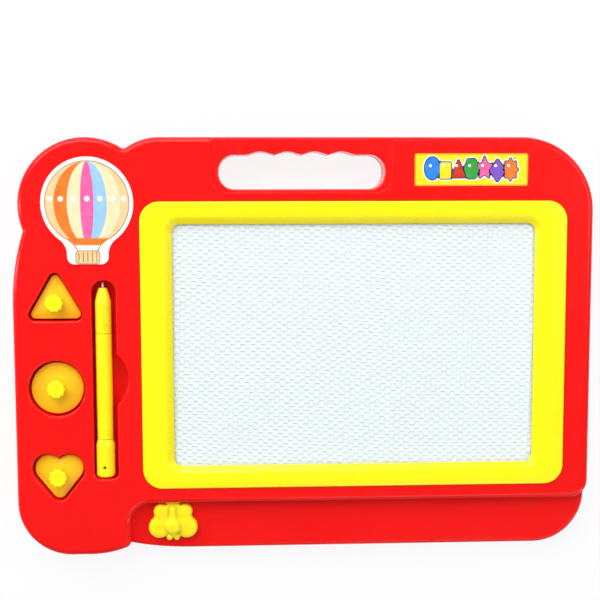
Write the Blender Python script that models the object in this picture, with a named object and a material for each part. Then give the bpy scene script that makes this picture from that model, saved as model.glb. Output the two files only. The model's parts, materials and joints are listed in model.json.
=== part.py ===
"""Magnetic drawing board for a child, lying on its back with the screen facing up.

A red front shell and a back cover hold a sealed magnetic panel under a yellow bezel. An eraser
carriage slides behind the panel, three stamps and a pen lift out of pockets on the left.
X runs to the right, Y towards the handle, Z out of the screen. The origin is on the table,
under the centre of the board. All lengths are in metres.
"""

import math

import bmesh
import bpy
from mathutils import Matrix, Vector

# Finish of the curves
ARC_STEP = math.radians(11.5)
LEAST_ARC_STEPS = 2
EDGE_STEPS = 2

# General fits
WALL = 0.002
CLEARANCE = 0.0003
ADHESIVE = 0.0002
OVERRUN = 0.004

# Board outline, seen from the front
BOARD_WIDTH = 0.385
BOARD_HEIGHT = 0.2784
TOP_RIGHT_RADIUS = 0.0488
BOTTOM_RIGHT_RADIUS = 0.0354
BOTTOM_LEFT_RADIUS = 0.036
LOBE_RADIUS = 0.0442
LOBE_INSET = 0.0046
TOP_SHOULDER_RADIUS = 0.038
TOP_SHOULDER_OFFSET = 0.0485
LEFT_SHOULDER_RADIUS = 0.155
LEFT_SHOULDER_DROP = 0.065
FOOT_RADIUS = 0.066
FOOT_OFFSET = 0.0482
FOOT_DROP = 0.0012
BOTTOM_SHOULDER_RADIUS = 0.200
BOTTOM_SHOULDER_OFFSET = 0.065
NOTCH_RADIUS = 0.003

# Heights above the table
FACE_Z = 0.024
LEDGE_Z = 0.0153
PARTING_Z = 0.006

# Edges of the shell
FACE_EDGE_RADIUS = 0.004
LEDGE_EDGE_RADIUS = 0.003
BACK_EDGE_RADIUS = 0.003
LEDGE_STEP = 0.0003

# Ledge below the screen, on which the eraser knob travels
LEDGE_DEPTH = 0.0347
LEDGE_LEFT = 0.075
LEDGE_CORNER_RADIUS = 0.014
FOOT_CORNER_EASE = 0.0012
RAISED_CORNER_RADIUS = 0.012

# Bezel around the screen
BEZEL_RADIUS = 0.013
BEZEL_FROM_PEN = 0.0163
BEZEL_RIGHT_BORDER = 0.0181
BEZEL_BELOW_HANDLE = 0.0078
BEZEL_ABOVE_LEDGE = 0.01045
BEZEL_SIDE_BAND = 0.0209
BEZEL_TOP_BAND = 0.0149
BEZEL_SLOPE_WIDTH = 0.0055
BEZEL_PROUD = 0.0015
BEZEL_CROWN = 0.0004
BEZEL_EDGE_RADIUS = 0.0012
BEZEL_REBATE = 0.001
BEZEL_FLANGE = 0.003
BEZEL_SKIRT = 0.0015
BEZEL_LIP_HEIGHT = 0.0007
BEZEL_LIP_WIDTH = 0.002
BEZEL_SKIN = 0.0014
WINDOW_RADIUS = 0.0055

# Snap hooks that hold the bezel in the shell
HOOK_WIDTH = 0.008
HOOK_BARB = 0.0012
HOOK_BARB_HEIGHT = 0.0012
HOOK_ROOT = 0.0015
LONG_SIDE_HOOKS = 4
SHORT_SIDE_HOOKS = 2

# Magnetic panel
PANEL_DEPTH = 0.003
PANEL_MARGIN = 0.004
FILM_THICKNESS = 0.0003
CORE_THICKNESS = 0.0018
FLANGE_WIDTH = 0.011
FLANGE_WIDTH_ENDS = 0.007

# Eraser carriage behind the panel
ERASER_START = 0.0019
ERASER_END = 0.0009
CARRIAGE_WIDTH = 0.012
CARRIAGE_RIB = 0.0006
MAGNET_WIDTH = 0.008
MAGNET_THICKNESS = 0.002
MAGNET_END_GAP = 0.003
BAR_THICKNESS = 0.0035
ARM_THICKNESS = 0.0024
ARM_LIFT = 0.0016
RISER_THICKNESS = 0.003
ARM_WIDTH = 0.010
TONGUE_WIDTH = 0.007
TONGUE_LENGTH = 0.009
RAIL_WIDTH = 0.002
RAIL_GROOVE = 0.0012
RAIL_INSET = 0.0045
RAIL_OVERRUN = 0.004

# Butterfly knob on the eraser
KNOB_GAP = 0.00135
KNOB_LIFT = 0.0006
WING_HEIGHT = 0.0058
WING_EDGE_RADIUS = 0.0015
LOWER_WING_RADIUS = 0.0074
LOWER_WING_X = 0.0091
LOWER_WING_DROP = 0.0161
UPPER_WING_RADIUS = 0.0052
UPPER_WING_X = 0.0079
UPPER_WING_DROP = 0.0053
ABDOMEN_RADIUS = 0.0022
ABDOMEN_HEIGHT = 0.0075
THORAX_RADIUS = 0.0056
THORAX_DROP = 0.0146
THORAX_HEIGHT = 0.0095
THORAX_SIDES = 16
HEAD_WIDTH = 0.0064
KNOB_NAPE_HEIGHT = 0.0046
WEB_WIDTH = 0.011
WEB_HEIGHT = 0.0052
BULB_RADIUS = 0.0022
BULB_X = 0.0024
BULB_DROP = 0.0229
BULB_HEIGHT = 0.005

# Handle opening and the shallow recess around it
HANDLE_FROM_LOBE = 0.0426
HANDLE_SHARE = 0.5924
HANDLE_OPENING = 0.0225
HANDLE_TOP = 0.0116
HANDLE_END_RADIUS = 0.0105
GRIP_BUMP = 0.0022
GRIP_MARGIN = 0.0089
GRIP_BUMPS = 4
GRIP_BUMP_STEPS = 6
GRIP_SHIFT = -0.0005
HANDLE_RECESS = 0.0008
HANDLE_RECESS_SIDE = 0.0045
HANDLE_RECESS_BELOW = 0.0020
HANDLE_RECESS_RADIUS = 0.010

# Label and picture sticker
LABEL_HEIGHT = 0.0215
LABEL_FROM_HANDLE = 0.0192
LABEL_INTO_CORNER = 0.0038
LABEL_TOP = 0.0107
LABEL_RADIUS = 0.0015
LABEL_GAP = 0.0004
LABEL_THICKNESS = 0.0003
LABEL_RECESS = 0.0006
STICKER_THICKNESS = 0.0002
STICKER_HEAD_RADIUS = 0.0300
STICKER_HEAD_RISE = 0.0015
STICKER_HEAD_SHIFT = 0.0015
STICKER_BASKET_WIDTH = 0.027
STICKER_HEIGHT = 0.070
STICKER_CORNER_RADIUS = 0.005
STICKER_NECK_RADIUS = 0.012

# Pockets for the stamps and the pen
POCKET_DEPTH = 0.0115
POCKET_GAP = 0.0011
STAMP_MARGIN = 0.009
TRIANGLE_GAP_SHARE = 0.0371
CIRCLE_GAP_SHARE = 0.2913
HEART_GAP_SHARE = 0.2785
PEN_FROM_STAMP = 0.0052
PEN_POCKET_WIDTH = 0.0160
PEN_BELOW_LOBE = 0.005
PEN_POCKET_FOOT = 0.0523
PEN_POCKET_FOOT_RADIUS = 0.004
SCOOP_DEPTH = 0.0074
SCOOP_RADIUS = 0.0232
SCOOP_SHARE = 0.4966

# Stamps
TRIANGLE_HALF_BASE = 0.0189
TRIANGLE_HEIGHT = 0.0325
TRIANGLE_CORNER_RADIUS = 0.0032
CIRCLE_RADIUS = 0.0174
HEART_LOBE_RADIUS = 0.0091
HEART_LOBE_X = 0.0071
HEART_TIP_RADIUS = 0.005
HEART_TIP_DROP = 0.0156
HEART_CLEFT_RADIUS = 0.001
HEART_KNOB_DROP = 0.0055
STAMP_TOP_DROP = 0.004
STAMP_EDGE_RADIUS = 0.001
STAMP_RIM = 0.0012
STAMP_SHOULDER = 0.0012
STAMP_SKIN = 0.0015
STAMP_MAGNET_THICKNESS = 0.0012
STAMP_DOME = 0.0011
COLLAR_RADIUS = 0.0046
PEG_RADIUS = 0.002
PEG_LENGTH = 0.0028
KNOB_RADIUS = 0.0058
KNOB_SCALLOP = 0.00035
KNOB_LOBES = 10
KNOB_LOBE_STEPS = 3
KNOB_NECK_RADIUS = 0.0038
KNOB_NECK_HEIGHT = 0.0012
KNOB_HEAD_HEIGHT = 0.0052
KNOB_EDGE_RADIUS = 0.0009

# Pen
PEN_SIDES = 16
PEN_BARREL_RADIUS = 0.0053
PEN_WALL = 0.0011
PEN_TIP_RADIUS = 0.00095
PEN_TIP_LENGTH = 0.0042
PEN_TIP_SEAT = 0.006
PEN_NOSE_FACE_RADIUS = 0.0029
PEN_CONE_LENGTH = 0.0095
PEN_NOSE_LENGTH = 0.030
PEN_CAP_RADIUS = 0.0062
PEN_CAP_LENGTH = 0.0255
PEN_CAP_FLARE = 0.004
PEN_CAP_END_RADIUS = 0.0022
PEN_CAP_FLOOR = 0.011
PEN_SPIGOT = 0.006
PEN_SPIGOT_WALL = 0.0012
PEN_JOINT_CHAMFER = 0.0004
PEN_SIDE_GAP = 0.0009
CORD_HOLE_RADIUS = 0.0011
CORD_HOLE_SIDES = 12
CORD_HOLE_FROM_END = 0.0068

# Screws, bosses and their cups in the back cover
BOSS_RADIUS = 0.0035
BOSS_SIDES = 10
PILOT_RADIUS = 0.00165
PILOT_DEPTH = 0.012
CUP_RADIUS = 0.0046
CUP_BORE = 0.0034
CUP_FLOOR = 0.0016
SCREW_HOLE_RADIUS = 0.0017
SCREW_SHANK_RADIUS = 0.0013
SCREW_SHANK_LENGTH = 0.0115
SCREW_POINT_RADIUS = 0.0003
SCREW_POINT_LENGTH = 0.0015
SCREW_HEAD_RADIUS = 0.0028
SCREW_HEAD_HEIGHT = 0.0016
SCREW_SIDES = 10
SCREW_SLOT_WIDTH = 0.0007
SCREW_SLOT_DEPTH = 0.0008
SCREW_SLOT_LENGTH = 0.0036

# Places that follow from the sizes above
LEFT_EDGE = -BOARD_WIDTH / 2
RIGHT_EDGE = BOARD_WIDTH / 2
TOP_EDGE = BOARD_HEIGHT / 2
FOOT_EDGE = -BOARD_HEIGHT / 2
LEDGE_EDGE = FOOT_EDGE + FOOT_DROP
LEDGE_WALL_Y = FOOT_EDGE + LEDGE_DEPTH
LEDGE_LEFT_X = LEFT_EDGE + LEDGE_LEFT
FOOT_CORNER_RADIUS = FACE_EDGE_RADIUS + FOOT_CORNER_EASE
STAMP_X_FROM_LEFT = STAMP_MARGIN + TRIANGLE_HALF_BASE
PEN_POCKET_LEFT = STAMP_X_FROM_LEFT + CIRCLE_RADIUS + POCKET_GAP + PEN_FROM_STAMP
BEZEL_LEFT_BORDER = PEN_POCKET_LEFT + PEN_POCKET_WIDTH + BEZEL_FROM_PEN
BEZEL_TOP_BORDER = HANDLE_TOP + HANDLE_OPENING + BEZEL_BELOW_HANDLE
BEZEL_WIDTH = BOARD_WIDTH - BEZEL_LEFT_BORDER - BEZEL_RIGHT_BORDER
BEZEL_HEIGHT = BOARD_HEIGHT - BEZEL_TOP_BORDER - LEDGE_DEPTH - BEZEL_ABOVE_LEDGE
SCREEN_X = RIGHT_EDGE - BEZEL_RIGHT_BORDER - BEZEL_WIDTH / 2
SCREEN_Y = TOP_EDGE - BEZEL_TOP_BORDER - BEZEL_HEIGHT / 2
WINDOW_WIDTH = BEZEL_WIDTH - 2 * BEZEL_SIDE_BAND
WINDOW_HEIGHT = BEZEL_HEIGHT - 2 * BEZEL_TOP_BAND
SHELL_BOTTOM_Z = PARTING_Z + CLEARANCE
REBATE_Z = FACE_Z - BEZEL_REBATE
PANEL_TOP_Z = FACE_Z - PANEL_DEPTH
CORE_TOP_Z = PANEL_TOP_Z - FILM_THICKNESS - ADHESIVE
BACK_FILM_TOP_Z = CORE_TOP_Z - CORE_THICKNESS - ADHESIVE
PANEL_BOTTOM_Z = BACK_FILM_TOP_Z - FILM_THICKNESS
FLANGE_TOP_Z = PANEL_BOTTOM_Z - CLEARANCE
FLANGE_BOTTOM_Z = FLANGE_TOP_Z - WALL
SEAT_WIDTH = BEZEL_WIDTH - 2 * BEZEL_FLANGE
SEAT_HEIGHT = BEZEL_HEIGHT - 2 * BEZEL_FLANGE
SEAT_RADIUS = BEZEL_RADIUS - BEZEL_FLANGE
MAGNET_TOP_Z = PANEL_BOTTOM_Z - CLEARANCE
MAGNET_BOTTOM_Z = MAGNET_TOP_Z - MAGNET_THICKNESS
RIB_TOP_Z = MAGNET_BOTTOM_Z - ADHESIVE
BAR_TOP_Z = RIB_TOP_Z - CARRIAGE_RIB
BAR_BOTTOM_Z = BAR_TOP_Z - BAR_THICKNESS
PLATE_TOP_Z = BAR_BOTTOM_Z + ARM_THICKNESS
ARM_BOTTOM_Z = LEDGE_Z + ARM_LIFT
ARM_TOP_Z = ARM_BOTTOM_Z + ARM_THICKNESS
RISER_Y = (LEDGE_WALL_Y + SCREEN_Y - SEAT_HEIGHT / 2) / 2
WING_TOP_Z = LEDGE_Z + WING_HEIGHT
ABDOMEN_TOP_Z = LEDGE_Z + ABDOMEN_HEIGHT
THORAX_TOP_Z = LEDGE_Z + THORAX_HEIGHT
NAPE_TOP_Z = LEDGE_Z + KNOB_NAPE_HEIGHT
WEB_TOP_Z = LEDGE_Z + WEB_HEIGHT
BULB_TOP_Z = LEDGE_Z + BULB_HEIGHT
RAIL_TOP_Z = BAR_BOTTOM_Z + RAIL_GROOVE - CLEARANCE
HOOK_LOW_Z = FLANGE_TOP_Z + 2 * CLEARANCE
ERASER_X = SCREEN_X - WINDOW_WIDTH / 2 - ERASER_START
ERASER_TRAVEL = WINDOW_WIDTH + ERASER_START + ERASER_END
POCKET_FLOOR_Z = FACE_Z - POCKET_DEPTH
STAMP_X = LEFT_EDGE + STAMP_X_FROM_LEFT
STICKER_FOOT_Y = TOP_EDGE - LOBE_RADIUS + STICKER_HEAD_RISE + STICKER_HEAD_RADIUS - STICKER_HEIGHT
HEART_LENGTH = HEART_LOBE_RADIUS + HEART_TIP_DROP + HEART_TIP_RADIUS
STAMP_SPARE = STICKER_FOOT_Y - FOOT_EDGE - TRIANGLE_HEIGHT - 2 * CIRCLE_RADIUS - HEART_LENGTH
TRIANGLE_Y = STICKER_FOOT_Y - STAMP_SPARE * TRIANGLE_GAP_SHARE - TRIANGLE_HEIGHT * 2 / 3
CIRCLE_Y = TRIANGLE_Y - TRIANGLE_HEIGHT / 3 - STAMP_SPARE * CIRCLE_GAP_SHARE - CIRCLE_RADIUS
HEART_Y = CIRCLE_Y - CIRCLE_RADIUS - STAMP_SPARE * HEART_GAP_SHARE - HEART_LOBE_RADIUS
STAMP_BOTTOM_Z = POCKET_FLOOR_Z + CLEARANCE
STAMP_TOP_Z = FACE_Z - STAMP_TOP_DROP
COLLAR_Z = STAMP_TOP_Z + STAMP_DOME
PEN_POCKET_RIGHT = LEFT_EDGE + PEN_POCKET_LEFT + PEN_POCKET_WIDTH
PEN_POCKET_TOP = 2 * LOBE_RADIUS + PEN_BELOW_LOBE
PEN_POCKET_LENGTH = BOARD_HEIGHT - PEN_POCKET_TOP - PEN_POCKET_FOOT
SCOOP_DROP = PEN_POCKET_LENGTH * SCOOP_SHARE
PEN_ENDS_LENGTH = PEN_TIP_LENGTH + PEN_NOSE_LENGTH + PEN_CAP_LENGTH + 2 * CLEARANCE
PEN_BARREL_LENGTH = PEN_POCKET_LENGTH - 2 * PEN_SIDE_GAP - PEN_ENDS_LENGTH
PEN_POCKET_TOP_Y = TOP_EDGE - PEN_POCKET_TOP
PEN_X = LEFT_EDGE + PEN_POCKET_LEFT + PEN_SIDE_GAP + PEN_CAP_RADIUS
PEN_Z = POCKET_FLOOR_Z + CLEARANCE + PEN_CAP_RADIUS
PEN_TIP_Y = PEN_POCKET_TOP_Y - PEN_SIDE_GAP
HANDLE_TOP_Y = TOP_EDGE - HANDLE_TOP
HANDLE_LEFT = LOBE_INSET + 2 * LOBE_RADIUS + HANDLE_FROM_LOBE
LABEL_RIGHT = TOP_RIGHT_RADIUS - LABEL_INTO_CORNER
HANDLE_AND_LABEL = BOARD_WIDTH - HANDLE_LEFT - LABEL_FROM_HANDLE - LABEL_RIGHT
HANDLE_WIDTH = HANDLE_AND_LABEL * HANDLE_SHARE
GRIP_BUMP_PITCH = (HANDLE_WIDTH - 2 * HANDLE_END_RADIUS - 2 * GRIP_MARGIN) / GRIP_BUMPS
LABEL_WIDTH = HANDLE_AND_LABEL - HANDLE_WIDTH
LABEL_LEFT = HANDLE_LEFT + HANDLE_WIDTH + LABEL_FROM_HANDLE
HANDLE_CENTRE_X = LEFT_EDGE + HANDLE_LEFT + HANDLE_WIDTH / 2
CUP_TOP_Z = SHELL_BOTTOM_Z - CLEARANCE
HEAD_TOP_Z = CUP_TOP_Z - CUP_FLOOR - CLEARANCE

RED = (0.80, 0.010, 0.010)
YELLOW = (0.93, 0.80, 0.010)
AMBER = (0.90, 0.42, 0.010)
PALE = (0.86, 0.93, 0.93)
CLEAR_FILM = (0.90, 0.95, 0.95)
GREY_FILM = (0.55, 0.57, 0.58)
FERRITE = (0.05, 0.05, 0.05)
STEEL = (0.60, 0.60, 0.62)
STICKER_WHITE = (0.90, 0.88, 0.85)
LABEL_YELLOW = (0.95, 0.72, 0.02)


def clear_scene():
    for obj in list(bpy.data.objects):
        bpy.data.objects.remove(obj)


def make_material(name, colour, roughness, metallic=0.0):
    material = bpy.data.materials.new(name)
    material.use_nodes = True
    shader = material.node_tree.nodes["Principled BSDF"]
    shader.inputs["Base Color"].default_value = (*colour, 1.0)
    shader.inputs["Roughness"].default_value = roughness
    shader.inputs["Metallic"].default_value = metallic
    return material


# Outlines in the plane of the board, counterclockwise, as lists of 2-D vectors


def arc(centre, radius, start, end):
    """Points from one angle to the other, in radians; a falling angle runs clockwise."""
    steps = max(LEAST_ARC_STEPS, math.ceil(abs(end - start) / ARC_STEP))
    angles = [start + (end - start) * i / steps for i in range(steps + 1)]
    return [Vector((centre[0] + radius * math.cos(a), centre[1] + radius * math.sin(a))) for a in angles]


def corner(x, y, radius, quarter):
    """A quarter round whose centre is x, y, with its first point at quarter times 90 degrees."""
    start = quarter * math.pi / 2
    return arc((x, y), radius, start, start + math.pi / 2)


def angle_of(vector):
    return math.atan2(vector.y, vector.x)


def tidy(points):
    """Drops each point that repeats the one before it."""
    least = BOARD_WIDTH * 1e-6
    return [p for i, p in enumerate(points) if (p - points[i - 1]).length > least]


def inset(points, distance):
    """The outline moved inwards by distance, or outwards where it is negative."""
    moved = []
    for i, point in enumerate(points):
        before = (point - points[i - 1]).normalized()
        after = (points[(i + 1) % len(points)] - point).normalized()
        normal = Vector((-before.y, before.x))
        mitre = (normal + Vector((-after.y, after.x))).normalized()
        moved.append(point + mitre * (distance / mitre.dot(normal)))
    return moved


def rounded_rectangle(x, y, width, height, radius):
    right, top = width / 2 - radius, height / 2 - radius
    return tidy(
        corner(x + right, y - top, radius, 3)
        + corner(x + right, y + top, radius, 0)
        + corner(x - right, y + top, radius, 1)
        + corner(x - right, y - top, radius, 2)
    )


def notch_between(first, first_radius, second, second_radius, fillet):
    """Where an outline leaves one round for another: the angle at which it leaves the first,
    the points of the hollow fillet, and the angle at which it joins the second."""
    across = second - first
    reach, other = first_radius + fillet, second_radius + fillet
    along = (reach**2 - other**2 + across.length**2) / (2 * across.length)
    aside = math.sqrt(reach**2 - along**2)
    ahead = across.normalized()
    centre = first + ahead * along + Vector((ahead.y, -ahead.x)) * aside
    start, end = angle_of(first - centre), angle_of(second - centre)
    if end > start:
        end -= 2 * math.pi
    return angle_of(centre - first), arc(centre, fillet, start, end), angle_of(centre - second)


def upper_outline():
    """The part of the board's outline that shell and raised body share: from the right edge,
    round the handle side and the lobe, to the start of the foot's curve."""
    top_shoulder = Vector((0, 0))
    lobe = Vector((LEFT_EDGE + LOBE_INSET + LOBE_RADIUS, TOP_EDGE - LOBE_RADIUS))
    top_shoulder.x = lobe.x + TOP_SHOULDER_OFFSET
    top_shoulder.y = TOP_EDGE - TOP_SHOULDER_RADIUS
    left_shoulder = Vector((LEFT_EDGE + LEFT_SHOULDER_RADIUS, lobe.y - LEFT_SHOULDER_DROP))
    leave, notch, join = notch_between(top_shoulder, TOP_SHOULDER_RADIUS, lobe, LOBE_RADIUS, NOTCH_RADIUS)
    points = corner(RIGHT_EDGE - TOP_RIGHT_RADIUS, TOP_EDGE - TOP_RIGHT_RADIUS, TOP_RIGHT_RADIUS, 0)
    points += arc(top_shoulder, TOP_SHOULDER_RADIUS, math.pi / 2, leave)
    points += notch
    leave, notch, ease = notch_between(
        lobe, LOBE_RADIUS, left_shoulder, LEFT_SHOULDER_RADIUS, NOTCH_RADIUS
    )
    points += arc(lobe, LOBE_RADIUS, join, leave % (2 * math.pi))
    points += notch
    points += arc(left_shoulder, LEFT_SHOULDER_RADIUS, ease % (2 * math.pi), math.pi)
    points += corner(LEFT_EDGE + BOTTOM_LEFT_RADIUS, FOOT_EDGE + BOTTOM_LEFT_RADIUS, BOTTOM_LEFT_RADIUS, 2)
    return points


def foot_centre():
    return Vector((LEFT_EDGE + FOOT_OFFSET, FOOT_EDGE + FOOT_RADIUS))


def foot_arc(leave):
    """The foot's curve up to an angle, with its points at the same angles for both outlines."""
    start = -math.pi / 2
    steps = max(1, round((leave - start) / ARC_STEP))
    angles = [start + i * ARC_STEP for i in range(steps)] + [leave]
    foot = foot_centre()
    return [foot + Vector((math.cos(a), math.sin(a))) * FOOT_RADIUS for a in angles]


def board_outline():
    """The whole board, with the ledge."""
    foot = foot_centre()
    shoulder = Vector((foot.x + BOTTOM_SHOULDER_OFFSET, LEDGE_EDGE + BOTTOM_SHOULDER_RADIUS))
    leave, notch, join = notch_between(
        foot, FOOT_RADIUS, shoulder, BOTTOM_SHOULDER_RADIUS, NOTCH_RADIUS
    )
    points = upper_outline()
    points += foot_arc(leave)
    points += notch
    points += arc(shoulder, BOTTOM_SHOULDER_RADIUS, join, -math.pi / 2)
    points += corner(
        RIGHT_EDGE - BOTTOM_RIGHT_RADIUS, LEDGE_EDGE + BOTTOM_RIGHT_RADIUS, BOTTOM_RIGHT_RADIUS, 3
    )
    return tidy(points)


def raised_outline():
    """The body that stands above the ledge."""
    foot = foot_centre()
    turn_x = LEDGE_LEFT_X - FOOT_CORNER_RADIUS
    turn_y = foot.y - math.sqrt((FOOT_RADIUS - FOOT_CORNER_RADIUS) ** 2 - (turn_x - foot.x) ** 2)
    turn = Vector((turn_x, turn_y))
    leave = angle_of(turn - foot)
    points = upper_outline()
    points += foot_arc(leave)
    points += arc(turn, FOOT_CORNER_RADIUS, leave, 0)
    hollow = (LEDGE_LEFT_X + LEDGE_CORNER_RADIUS, LEDGE_WALL_Y - LEDGE_CORNER_RADIUS)
    points += arc(hollow, LEDGE_CORNER_RADIUS, math.pi, math.pi / 2)
    points += corner(
        RIGHT_EDGE - RAISED_CORNER_RADIUS, LEDGE_WALL_Y + RAISED_CORNER_RADIUS, RAISED_CORNER_RADIUS, 3
    )
    return tidy(points)


def handle_outline():
    """The grip opening: a long slot with finger hollows along its upper edge."""
    bottom = HANDLE_TOP_Y - HANDLE_OPENING
    right = HANDLE_CENTRE_X + HANDLE_WIDTH / 2 - HANDLE_END_RADIUS
    left = HANDLE_CENTRE_X - HANDLE_WIDTH / 2 + HANDLE_END_RADIUS
    points = corner(right, bottom + HANDLE_END_RADIUS, HANDLE_END_RADIUS, 3)
    points += corner(right, HANDLE_TOP_Y - HANDLE_END_RADIUS, HANDLE_END_RADIUS, 0)
    grip_end = HANDLE_CENTRE_X + GRIP_SHIFT + GRIP_BUMP_PITCH * GRIP_BUMPS / 2
    steps = GRIP_BUMPS * GRIP_BUMP_STEPS
    for i in range(steps + 1):
        rise = GRIP_BUMP * abs(math.sin(math.pi * i / GRIP_BUMP_STEPS)) ** 1.3
        points.append(Vector((grip_end - GRIP_BUMP_PITCH * i / GRIP_BUMP_STEPS, HANDLE_TOP_Y + rise)))
    points += corner(left, HANDLE_TOP_Y - HANDLE_END_RADIUS, HANDLE_END_RADIUS, 1)
    points += corner(left, bottom + HANDLE_END_RADIUS, HANDLE_END_RADIUS, 2)
    return tidy(points)


def pen_pocket_outline():
    left = PEN_POCKET_RIGHT - PEN_POCKET_WIDTH
    foot_y = PEN_POCKET_TOP_Y - PEN_POCKET_LENGTH
    round_top = PEN_POCKET_WIDTH / 2
    scoop = (PEN_POCKET_RIGHT + SCOOP_DEPTH - SCOOP_RADIUS, PEN_POCKET_TOP_Y - SCOOP_DROP)
    half_angle = math.acos((SCOOP_RADIUS - SCOOP_DEPTH) / SCOOP_RADIUS)
    foot_radius = PEN_POCKET_FOOT_RADIUS
    return tidy(
        corner(PEN_POCKET_RIGHT - foot_radius, foot_y + foot_radius, foot_radius, 3)
        + arc(scoop, SCOOP_RADIUS, -half_angle, half_angle)
        + corner(PEN_POCKET_RIGHT - round_top, PEN_POCKET_TOP_Y - round_top, round_top, 0)
        + corner(left + round_top, PEN_POCKET_TOP_Y - round_top, round_top, 1)
        + corner(left + foot_radius, foot_y + foot_radius, foot_radius, 2)
    )


def triangle_outline(grow=0.0):
    """A triangle with rounded corners about its centroid, grown outwards all round."""
    low = -TRIANGLE_HEIGHT / 3
    tips = [
        Vector((-TRIANGLE_HALF_BASE, low)),
        Vector((TRIANGLE_HALF_BASE, low)),
        Vector((0, TRIANGLE_HEIGHT + low)),
    ]
    points = []
    for i, tip in enumerate(tips):
        before = (tip - tips[i - 1]).normalized()
        after = (tips[(i + 1) % len(tips)] - tip).normalized()
        half = (math.pi - before.angle(after)) / 2
        centre = tip + (after - before).normalized() * (TRIANGLE_CORNER_RADIUS / math.sin(half))
        start = angle_of(Vector((before.y, -before.x)))
        points += arc(centre, TRIANGLE_CORNER_RADIUS + grow, start, start + before.angle(after))
    return tidy(points)


def circle_outline(grow=0.0):
    return tidy(arc((0, 0), CIRCLE_RADIUS + grow, 0, 2 * math.pi))


def heart_outline(grow=0.0):
    """Two round lobes and a rounded tip, joined by their common tangents, about the knob's axis."""
    left, right = Vector((-HEART_LOBE_X, HEART_KNOB_DROP)), Vector((HEART_LOBE_X, HEART_KNOB_DROP))
    tip = Vector((0, HEART_KNOB_DROP - HEART_TIP_DROP))
    run = tip - right
    tangent = angle_of(run) + math.acos((HEART_LOBE_RADIUS - HEART_TIP_RADIUS) / run.length)
    lobe_radius, tip_radius = HEART_LOBE_RADIUS + grow, HEART_TIP_RADIUS + grow
    leave, cleft, join = notch_between(right, lobe_radius, left, lobe_radius, HEART_CLEFT_RADIUS)
    points = arc(tip, tip_radius, -math.pi - tangent, tangent)
    points += arc(right, lobe_radius, tangent, leave)
    points += cleft
    points += arc(left, lobe_radius, join, math.pi - tangent)
    return tidy(points)


def sticker_outline():
    """A die-cut balloon: a round head above a small basket, joined by hollow fillets."""
    head = Vector((0, 0))
    low = STICKER_HEAD_RADIUS - STICKER_HEIGHT
    half = STICKER_BASKET_WIDTH / 2
    neck_x = half + STICKER_NECK_RADIUS
    neck_y = -math.sqrt((STICKER_HEAD_RADIUS + STICKER_NECK_RADIUS) ** 2 - neck_x**2)
    right_neck, left_neck = Vector((neck_x, neck_y)), Vector((-neck_x, neck_y))
    top_turn = angle_of(right_neck - head)
    points = corner(half - STICKER_CORNER_RADIUS, low + STICKER_CORNER_RADIUS, STICKER_CORNER_RADIUS, 3)
    points += arc(right_neck, STICKER_NECK_RADIUS, math.pi, math.pi + top_turn)
    points += arc(head, STICKER_HEAD_RADIUS, top_turn, math.pi - top_turn)
    points += arc(left_neck, STICKER_NECK_RADIUS, -top_turn, 0)
    points += corner(-half + STICKER_CORNER_RADIUS, low + STICKER_CORNER_RADIUS, STICKER_CORNER_RADIUS, 2)
    return tidy(points)


# Solids


def level(points, z):
    return [(p.x, p.y, z) for p in points]


def add_rings(bm, rings, loop=False):
    """Skins rings of equal length, lowest or innermost first; a loop joins the last ring to
    the first, and otherwise both ends get a cap."""
    made = [[bm.verts.new(p) for p in ring] for ring in rings]
    pairs = list(zip(made, made[1:] + made[:1] if loop else made[1:]))
    for low, high in pairs:
        for i in range(len(low)):
            bm.faces.new((low[i - 1], low[i], high[i], high[i - 1]))
    if not loop:
        bm.faces.new(list(reversed(made[0])))
        bm.faces.new(made[-1])


def add_object(name, bm, material=None, parent=None, smooth=False):
    bmesh.ops.recalc_face_normals(bm, faces=bm.faces)
    mesh = bpy.data.meshes.new(name)
    bm.to_mesh(mesh)
    bm.free()
    if smooth:
        mesh.shade_smooth()
        mesh.set_sharp_from_angle(angle=math.radians(35))
    obj = bpy.data.objects.new(name, mesh)
    bpy.context.scene.collection.objects.link(obj)
    if material:
        mesh.materials.append(material)
    if parent:
        obj.parent = parent
    return obj


def lofted(name, rings, material=None, parent=None, loop=False, smooth=False):
    bm = bmesh.new()
    add_rings(bm, rings, loop)
    return add_object(name, bm, material, parent, smooth)


def prism(name, outline, low, high, material=None, parent=None):
    return lofted(name, [level(outline, low), level(outline, high)], material, parent)


def box_rings(x0, x1, y0, y1, z0, z1):
    outline = [Vector((x0, y0)), Vector((x1, y0)), Vector((x1, y1)), Vector((x0, y1))]
    return [level(outline, z0), level(outline, z1)]


def circle(x, y, radius, sides):
    angles = [2 * math.pi * i / sides for i in range(sides)]
    return [Vector((x + radius * math.cos(a), y + radius * math.sin(a))) for a in angles]


def turned(x, y, profile, sides):
    """Rings about a vertical axis; the profile holds radius and height."""
    return [level(circle(x, y, radius, sides), z) for radius, z in profile]


def hide(obj):
    obj.hide_render = True
    obj.display_type = "WIRE"
    return obj


def combine(obj, other, operation):
    modifier = obj.modifiers.new(f"{operation.lower()}_{other.name}", "BOOLEAN")
    modifier.operation = operation
    modifier.solver = "EXACT"
    modifier.object = hide(other)


def cut(obj, cutter):
    combine(obj, cutter, "DIFFERENCE")


def join(obj, other):
    combine(obj, other, "UNION")


def rounded_top(outline, low, high, radius):
    """Rings of a body with straight sides and a quarter-round upper edge."""
    rings = [level(outline, low)]
    for i in range(EDGE_STEPS + 1):
        a = math.pi / 2 * i / EDGE_STEPS
        rings.append(level(inset(outline, radius * (1 - math.cos(a))), high - radius * (1 - math.sin(a))))
    return rings


def screen_rectangle(width, height, radius):
    return rounded_rectangle(SCREEN_X, SCREEN_Y, width, height, radius)


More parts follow.
